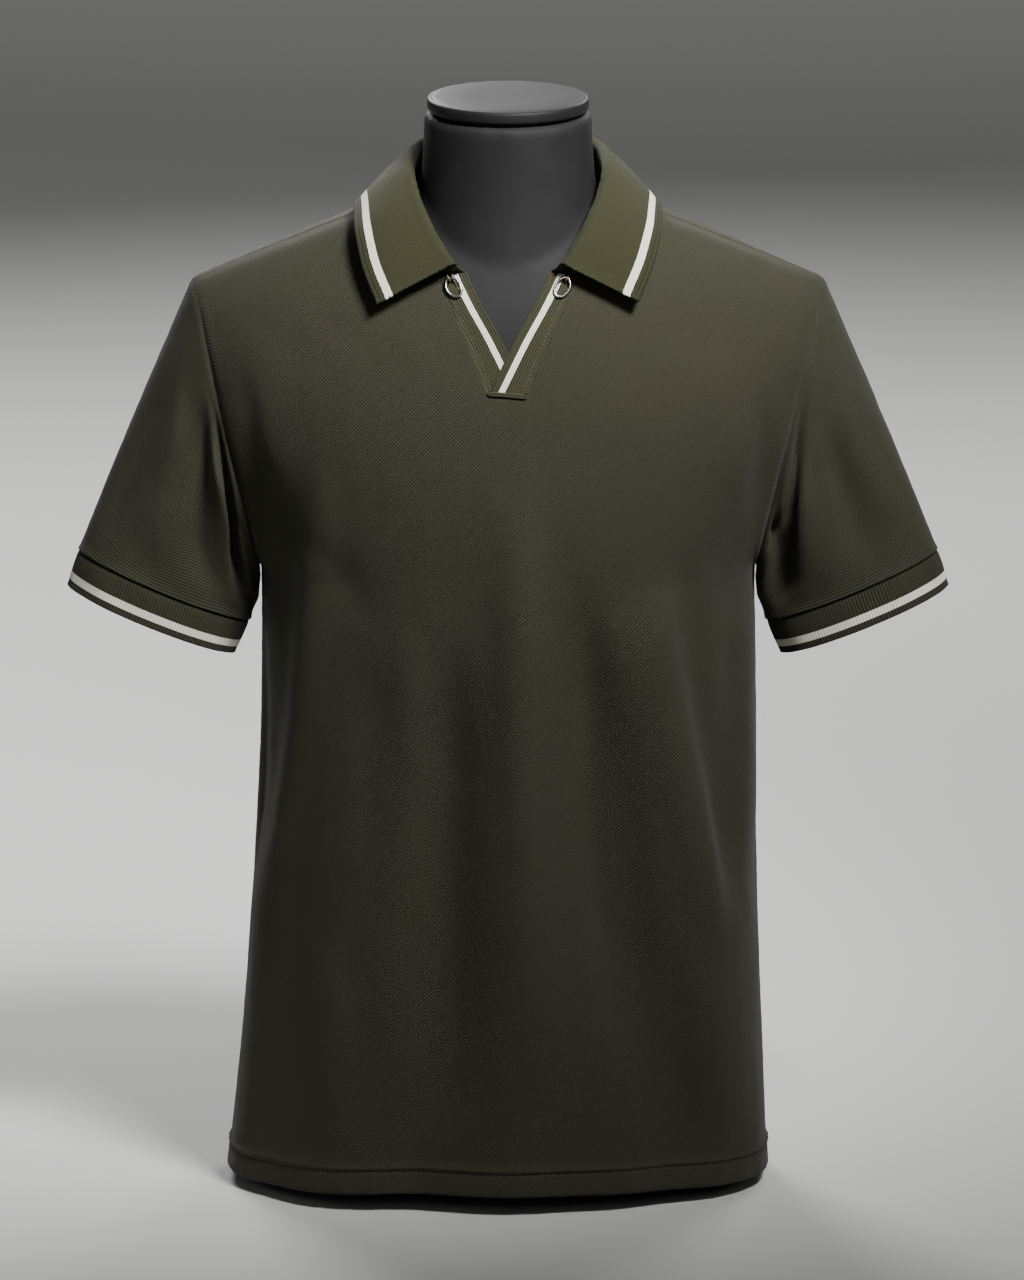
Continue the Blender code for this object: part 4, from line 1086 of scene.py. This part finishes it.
def ramp(tree, value, low, high):
    node = tree.nodes.new("ShaderNodeMapRange")
    node.interpolation_type = "SMOOTHSTEP"
    for label, number in (("Value", value), ("From Min", low), ("From Max", high)):
        put(node.inputs[label], number, tree.links)
    return node.outputs["Result"]


def roughness_between(tree, shader, value, low, high):
    node = tree.nodes.new("ShaderNodeMapRange")
    for label, number in (("Value", value), ("To Min", low), ("To Max", high)):
        put(node.inputs[label], number, tree.links)
    tree.links.new(node.outputs["Result"], shader.inputs["Roughness"])


def object_place(tree):
    return tree.nodes.new("ShaderNodeTexCoord").outputs["Object"]


def split(tree, vector):
    node = tree.nodes.new("ShaderNodeSeparateXYZ")
    put(node.inputs[0], vector, tree.links)
    return node.outputs


def sway(tree, value, size):
    """A share between 0 and 1 as a shift about its middle."""
    return calc(tree, "MULTIPLY", calc(tree, "SUBTRACT", value, 0.5), size)


def waves(tree, value, pitch):
    """A wave of that pitch, between -1 and 1."""
    return calc(tree, "SINE", calc(tree, "MULTIPLY", calc(tree, "DIVIDE", value, pitch), 2.0 * math.pi))


def give_knit(group, height, darkest, result):
    """A knit's relief between 0 and 1, and for its colour a painted shade and highlight, dark in its deepest
    places and light on its highest.
    """
    group.links.new(calc(group, "MULTIPLY_ADD", height, 0.5, 0.5), result["Height"])
    group.links.new(ramp(group, height, darkest, 0.8), result["Painted Shade"])


def make_pique_group():
    """Pique: small raised cells in slanting rows. Takes the cloth's own measures in metres."""
    group, given, result = new_group("pique_knit", "Cloth", ("Cell",), ("Height", "Painted Shade"))
    across, along, _ = split(group, given["Cloth"])
    cell = given["Cell"]
    shifted = calc(group, "ADD", across, sway(group, noise(group, given["Cloth"], 420.0), 0.0007))
    rise = waves(group, calc(group, "ADD", shifted, along), calc(group, "MULTIPLY", cell, 1.25))
    fall = waves(group, calc(group, "SUBTRACT", shifted, along), calc(group, "MULTIPLY", cell, 1.6))
    courses = waves(group, along, calc(group, "MULTIPLY", cell, 0.62))
    cells = calc(group, "MULTIPLY_ADD", fall, 0.35, calc(group, "MULTIPLY", rise, 0.65))
    give_knit(group, calc(group, "MULTIPLY_ADD", courses, 0.15, cells), -0.9, result)
    return group


def make_rib_group():
    """Flat knit: fine ribs across the cloth's length and finer stitches along them."""
    group, given, result = new_group("rib_knit", "Cloth", ("Rib", "Stitch"), ("Height", "Painted Shade"))
    across, along, _ = split(group, given["Cloth"])
    shift = sway(group, noise(group, given["Cloth"], 380.0), 0.0004)
    ribs = waves(group, calc(group, "ADD", across, shift), given["Rib"])
    courses = waves(group, calc(group, "ADD", along, shift), given["Stitch"])
    height = calc(group, "MULTIPLY_ADD", courses, 0.25, calc(group, "MULTIPLY", ribs, 0.75))
    give_knit(group, height, -1.0, result)
    return group


def make_wash_group():
    """The faint unevenness of a dyed and washed cloth, in patches and in small flecks."""
    group, given, result = new_group(
        "washed_cloth", "Place", ("Patch", "Fleck"), ("Patches", "Flecks", "Fuzz"))
    place = given["Place"]
    patches = noise(group, place, given["Patch"], 4.0, 0.6)
    flecks = noise(group, place, given["Fleck"], 1.0)
    group.links.new(ramp(group, patches, 0.3, 0.7), result["Patches"])
    group.links.new(ramp(group, flecks, 0.35, 0.72), result["Flecks"])
    group.links.new(noise(group, place, 2600.0, 1.0), result["Fuzz"])
    return group


def new_material(name):
    made = bpy.data.materials.new(name)
    made.use_nodes = True
    tree = made.node_tree
    return made, tree, tree.nodes["Principled BSDF"]


def use_group(tree, group, **values):
    node = tree.nodes.new("ShaderNodeGroup")
    node.node_tree = group
    for label, value in values.items():
        put(node.inputs[label], value, tree.links)
    return node.outputs


def cloth_inputs(tree):
    cloth = tree.nodes.new("ShaderNodeUVMap")
    cloth.uv_map = "cloth"
    return cloth.outputs["UV"], object_place(tree)


def bump(tree, height, distance, strength=1.0, normal=None):
    node = tree.nodes.new("ShaderNodeBump")
    node.inputs["Distance"].default_value = distance
    node.inputs["Strength"].default_value = strength
    put(node.inputs["Height"], height, tree.links)
    if normal is not None:
        tree.links.new(normal, node.inputs["Normal"])
    return node.outputs["Normal"]


def set_values(shader, values):
    for label, value in values.items():
        shader.inputs[label].default_value = value


def finish(tree, shader, colour, normal, values):
    tree.links.new(colour, shader.inputs["Base Color"])
    tree.links.new(normal, shader.inputs["Normal"])
    set_values(shader, values)


def finish_cloth(tree, shader, colour, fuzz, knit, roughness):
    """The colour, and the knit's relief over the fuzz's, each given as (height, distance, strength)."""
    finish(tree, shader, colour, bump(tree, *knit, bump(tree, *fuzz)), {
        "Roughness": roughness, "Specular IOR Level": 0.22, "Sheen Weight": 0.05, "Sheen Roughness": 0.45,
    })


def make_pique(groups):
    made, tree, shader = new_material("olive_pique")
    cloth, place = cloth_inputs(tree)
    knit = use_group(tree, groups["pique"], Cloth=cloth, Cell=0.0019)
    wash = use_group(tree, groups["wash"], Place=place, Patch=8.0, Fleck=850.0)
    # dark is painted shade in the hollows between the pique's cells, light a painted highlight on their tops.
    dark, light = (0.0046, 0.0046, 0.0024), (0.054, 0.0534, 0.0326)
    colour = blend_colours(tree, knit["Painted Shade"], dark, light)
    warm = calc(tree, "SUBTRACT", 1.0, wash["Patches"])
    for mask, strength, towards in (
        (wash["Patches"], 0.35, (0.025, 0.0275, 0.014)),
        (warm, 0.2, (0.035, 0.029, 0.02)),
        (wash["Flecks"], 0.22, (0.052, 0.049, 0.035)),
    ):
        colour = tint(tree, colour, mask, strength, towards)
    finish_cloth(tree, shader, colour, (wash["Fuzz"], 0.0001, 0.4), (knit["Height"], 0.00028, 0.8), 0.92)
    return made


def make_rib(name, groups, dark, light, stripe, lines, rib, stitch, lengthwise=False):
    """Flat knit with a cream stripe and dark lines, at these distances from the piece's free edge."""
    made, tree, shader = new_material(name)
    cloth, place = cloth_inputs(tree)
    along_edge, from_edge, _ = split(tree, cloth)
    if lengthwise:
        turned_cloth = tree.nodes.new("ShaderNodeCombineXYZ")
        tree.links.new(from_edge, turned_cloth.inputs["X"])
        tree.links.new(along_edge, turned_cloth.inputs["Y"])
        cloth = turned_cloth.outputs["Vector"]
    knit = use_group(tree, groups["rib"], Cloth=cloth, Rib=rib, Stitch=stitch)
    wash = use_group(tree, groups["wash"], Place=place, Patch=14.0, Fleck=900.0)
    from_edge = calc(tree, "ADD", from_edge, sway(tree, knit["Height"], 0.00022))
    # dark is painted shade in the ribs' hollows, light a painted highlight on the ribs.
    colour = blend_colours(tree, knit["Painted Shade"], dark, light)
    colour = tint(tree, colour, wash["Flecks"], 0.18, tuple(value * 1.4 for value in light))
    for at, half, depth in lines:
        off = calc(tree, "ABSOLUTE", calc(tree, "SUBTRACT", from_edge, at))
        line = calc(tree, "SUBTRACT", 1.0, ramp(tree, off, half * 0.5, half * 1.4))
        colour = tint(tree, colour, line, depth, (0.0085, 0.009, 0.0055))
    inside, beyond = (ramp(tree, from_edge, place - 0.0001, place + 0.0001) for place in stripe)
    # The cream stripe too gets painted shade in the ribs' hollows and a painted highlight on the ribs.
    cream = blend_colours(tree, knit["Painted Shade"], (0.6, 0.59, 0.47), (0.84, 0.83, 0.71))
    colour = blend_colours(tree, calc(tree, "SUBTRACT", inside, beyond), colour, cream)
    finish_cloth(tree, shader, colour, (wash["Fuzz"], 0.0002, 0.5), (knit["Height"], 0.00035, 0.8), 0.9)
    return made


def make_thread(name, dark, light, roughness=0.6):
    """Twisted sewing thread."""
    made, tree, shader = new_material(name)
    twist = noise(tree, object_place(tree), 1800.0)
    colour = blend_colours(tree, ramp(tree, twist, 0.3, 0.7), dark, light)
    normal = bump(tree, twist, 0.0002, 0.6)
    finish(tree, shader, colour, normal, {"Roughness": roughness, "Sheen Weight": 0.1})
    return made


def make_steel():
    made, tree, shader = new_material("ring_steel")
    scuff = noise(tree, object_place(tree), 700.0, 4.0, 0.7)
    colour = blend_colours(tree, ramp(tree, scuff, 0.3, 0.8), (0.3, 0.3, 0.3), (0.46, 0.46, 0.45))
    roughness_between(tree, shader, scuff, 0.16, 0.3)
    finish(tree, shader, colour, bump(tree, scuff, 0.000006, 0.3), {"Metallic": 1.0})
    return made


def make_form_black(name, colour, rough_low, rough_high, grain, shine):
    """Moulded plastic with a fine grain and a few dull handling marks."""
    made, tree, shader = new_material(name)
    place = object_place(tree)
    marks = ramp(tree, noise(tree, place, 16.0, 5.0, 0.65), 0.35, 0.75)
    lighter = tuple(value * 1.5 + 0.002 for value in colour)
    roughness_between(tree, shader, marks, rough_low, rough_high)
    normal = bump(tree, noise(tree, place, 1500.0), grain, 0.35)
    finish(tree, shader, tint(tree, colour, marks, 0.4, lighter), normal, {"Specular IOR Level": shine})
    return made


# ---------------------------------------------------------------- the whole part
groups = {"pique": make_pique_group(), "rib": make_rib_group(), "wash": make_wash_group()}
pique = make_pique(groups)
# Each rib knit's first two colours are the painted shade of its hollows and the painted highlight of its
# ribs.
collar_rib = make_rib(
    "collar_rib", groups, (0.0145, 0.0148, 0.0054), (0.04, 0.0403, 0.0182), (0.0074, 0.0134),
    ((0.0004, 0.0007, 0.7), (0.0036, 0.0004, 0.75), (0.0071, 0.0003, 0.6)), 0.0017, 0.0011,
)
# The dark line 26.9 mm from the cuff's free edge, along its seam with the sleeve, is painted shade under the
# sleeve's end.
cuff_rib = make_rib(
    "cuff_rib", groups, (0.013, 0.0125, 0.0068), (0.04, 0.0385, 0.0225), (0.0052, 0.0109),
    ((0.0004, 0.0006, 0.5), (0.0269, 0.0012, 0.8)), 0.0021, 0.0013,
)
band_rib = make_rib(
    "band_rib", groups, (0.015, 0.0155, 0.007), (0.048, 0.049, 0.0255), (0.0063, 0.0113),
    ((0.0061, 0.0003, 0.5), (0.0116, 0.0004, 0.6)), 0.0021, 0.0011, lengthwise=True,
)
steel = make_steel()
copper_thread = make_thread("copper_thread", (0.1, 0.045, 0.028), (0.3, 0.15, 0.095))
olive_thread = make_thread("olive_thread", (0.03, 0.03, 0.018), (0.07, 0.068, 0.044), 0.75)
pale_thread = make_thread("pale_thread", (0.08, 0.079, 0.05), (0.17, 0.167, 0.115), 0.75)
form_black = make_form_black("form_black", (0.0135, 0.0135, 0.0139), 0.66, 0.78, 0.00025, 0.22)
cap_black = make_form_black("cap_black", (0.012, 0.012, 0.0124), 0.46, 0.6, 0.00006, 0.2)

front, back = panel_grid(-1), panel_grid(1)
sleeves = {1.0: sleeve_grid(front, back, 1.0), -1.0: sleeve_grid(front, back, -1.0)}
front_normals, back_normals, left_normals, right_normals = shared_normals(
    [front, back, sleeves[1.0], sleeves[-1.0]]
)
pieces, band_paths = {}, {}
for node, grid, normals, creases, seed in (
    ("front", front, front_normals, FRONT_CREASES, 0.7), ("back", back, back_normals, BACK_CREASES, 2.9),
):
    dressed, inner = dress_panel(grid, normals, creases, seed)
    grid["dressed"], grid["normals"] = dressed, normals

    def holes(r, c, grid=grid):
        return r >= grid["first_open"] and grid["right"] <= c < grid["left"]

    made = cloth_piece(f"shirt_{node}", dressed, inner, grid["uv"], pique,
                       outward=grid["outward"], holes=holes)
    pieces[node] = finish_piece(made, SHIRT, "pique", node)

for side, mirror, normals, creases in (
    ("left", 1.0, left_normals, LEFT_SLEEVE_CREASES), ("right", -1.0, right_normals, RIGHT_SLEEVE_CREASES),
):
    grid = sleeves[mirror]
    dressed, inner = dress_sleeve(grid, normals, creases, 1.3 + mirror)
    made = cloth_piece(f"shirt_sleeve_{side}", dressed, inner, grid["uv"], pique, closed=True,
                       outward=mirror, uv_closed=grid["uv_closed"])
    pieces[f"sleeve_{side}"] = finish_piece(made, SHIRT, "pique", f"sleeve_{side}")
    made = make_cuff(f"knit_cuff_{side}", mirror, cuff_rib)
    pieces[f"cuff_{side}"] = finish_piece(made, SHIRT, "rib_knit", f"cuff_{side}")
    made, points, normals = make_band(f"knit_band_{side}", mirror, band_rib)
    band_paths[side] = points[2:-1, BAND_STITCH_COLUMN], normals[2:-1, BAND_STITCH_COLUMN]
    pieces[f"band_{side}"] = finish_piece(made, SHIRT, "rib_knit", f"placket_{side}")
pieces["collar"] = finish_piece(make_collar(front, back, collar_rib), SHIRT, "rib_knit", "collar")

for side, mirror in (("left", 1.0), ("right", -1.0)):
    centre, normal, along, across, hang = ring_places(mirror)
    bm = bmesh.new()
    oval_tube(bm, centre + hang * RING_HALF_HEIGHT, RING_HALF_WIDTH, RING_HALF_HEIGHT, across, hang,
              RING_WIRE * 1.15, 64, 16, RING_FLATNESS)
    made = add_piece(f"steel_ring_{side}", bm, steel)
    finish_piece(made, f"ring_{side}", "ring_steel", f"neck_ring_{side}")
    bm = bmesh.new()
    for turn, radius in ((-0.16, 0.0022), (0.0, 0.0024), (0.17, 0.0021)):
        lean = Matrix.Rotation(turn, 3, along)
        oval_tube(bm, centre, radius, radius, lean @ normal, lean @ along, LOOP_THREAD * 0.55, 22, 8)
    made = add_piece(f"thread_loop_{side}", bm, copper_thread)
    finish_piece(made, SHIRT, "loop_thread", f"ring_loop_{side}")

form = finish_piece(make_form(form_black), SHIRT, "form_black", "form_body")
finish_piece(make_cap(cap_black), SHIRT, "cap_black", "form_cap")


# ---------------------------------------------------------------- stitching
def add_stitches(name, rows, material, carrier):
    bm = bmesh.new()
    for path, normals, length, gap, thickness in rows:
        stitch_row(bm, path, normals, length, gap, thickness)
    return finish_piece(add_piece(name, bm, material), SHIRT, carrier)


def hem_path(grid, height):
    index = int(np.argmin(np.abs(grid["from_hem"][:, grid["from_hem"].shape[1] // 2] - height)))
    return grid["dressed"][index], grid["normals"][index]


for side, (path, normals) in band_paths.items():
    add_stitches(
        f"band_stitches_{side}", [(path, normals, 0.0019, 0.0011, 0.0005)], pale_thread, "rib_knit")
finish_piece(make_lip(band_rib), SHIRT, "rib_knit")
for name, grid in (("front", front), ("back", back)):
    path, normals = hem_path(grid, HEM_STITCH_HEIGHT)
    add_stitches(
        f"hem_stitches_{name}", [(path, normals, 0.0024, 0.001, 0.0006)], olive_thread, "pique")


# ---------------------------------------------------------------- floor, light and camera
def plain_material(name, colour, roughness):
    made, _, shader = new_material(name)
    set_values(shader, {"Base Color": (*colour, 1.0), "Roughness": roughness})
    return made


def make_floor():
    """A wide pale floor."""
    bm = bmesh.new()
    bmesh.ops.create_grid(bm, x_segments=4, y_segments=4, size=FLOOR_HALF)
    return add_piece("floor", bm, plain_material("pale_floor", (0.6, 0.6, 0.59), 0.8))


def aim_at(made, place, direction):
    made.matrix_world = Matrix.Translation(place) @ direction.to_track_quat("-Z", "Y").to_matrix().to_4x4()


def add_light(name, place, target, size, power):
    """A rectangle of this size, or the key's soft cone where there is none."""
    data = bpy.data.lights.new(name, "AREA" if size else "SPOT")
    if size:
        data.shape = "RECTANGLE"
        data.size, data.size_y = size
    else:
        data.spot_size, data.spot_blend, data.shadow_soft_size = KEY_CONE, 1.0, KEY_RADIUS
    data.energy = power
    aim_at(add_object(name, data), place, Vector(target) - Vector(place))


make_floor()
add_light("key", (0.8, -1.4, 2.46), (0.0, 0.0, 0.86), None, 700.0)
add_light("fill", (-3.2, -2.6, 1.4), (0.0, 0.0, 0.45), (2.4, 2.4), 4.0)
for label, x, power in (("left", -1.0, 96.0), ("right", 1.3, 50.0)):
    add_light(f"rim_{label}", (x, 3.0, 2.3), (0.0, 0.0, 0.4), (1.2, 1.2), power)
for label, x, y in (("back", 0.0, 9.0), ("front", 0.0, -9.0), ("left", -9.0, 0.0), ("right", 9.0, 0.0)):
    add_light(f"floor_{label}", (x, y, 4.0), (x, y, 0.0), (5.0, 5.0), 62.0)
world = bpy.data.worlds.new("studio")
world.use_nodes = True
sky = world.node_tree.nodes["Background"]
set_values(sky, {"Color": (0.8, 0.8, 0.8, 1.0), "Strength": WORLD_STRENGTH})
bpy.context.scene.world = world

lens = bpy.data.cameras.new("view")
lens.sensor_fit = "VERTICAL"
lens.sensor_width = lens.sensor_height = 36.0
lens.lens = CAMERA_LENS
lens.clip_end = 60.0
camera = add_object("view", lens)
towards = Vector((0.0, -math.cos(CAMERA_ELEVATION), math.sin(CAMERA_ELEVATION)))
aim_at(camera, CAMERA_TARGET + towards * CAMERA_DISTANCE, -towards)
bpy.context.scene.camera = camera
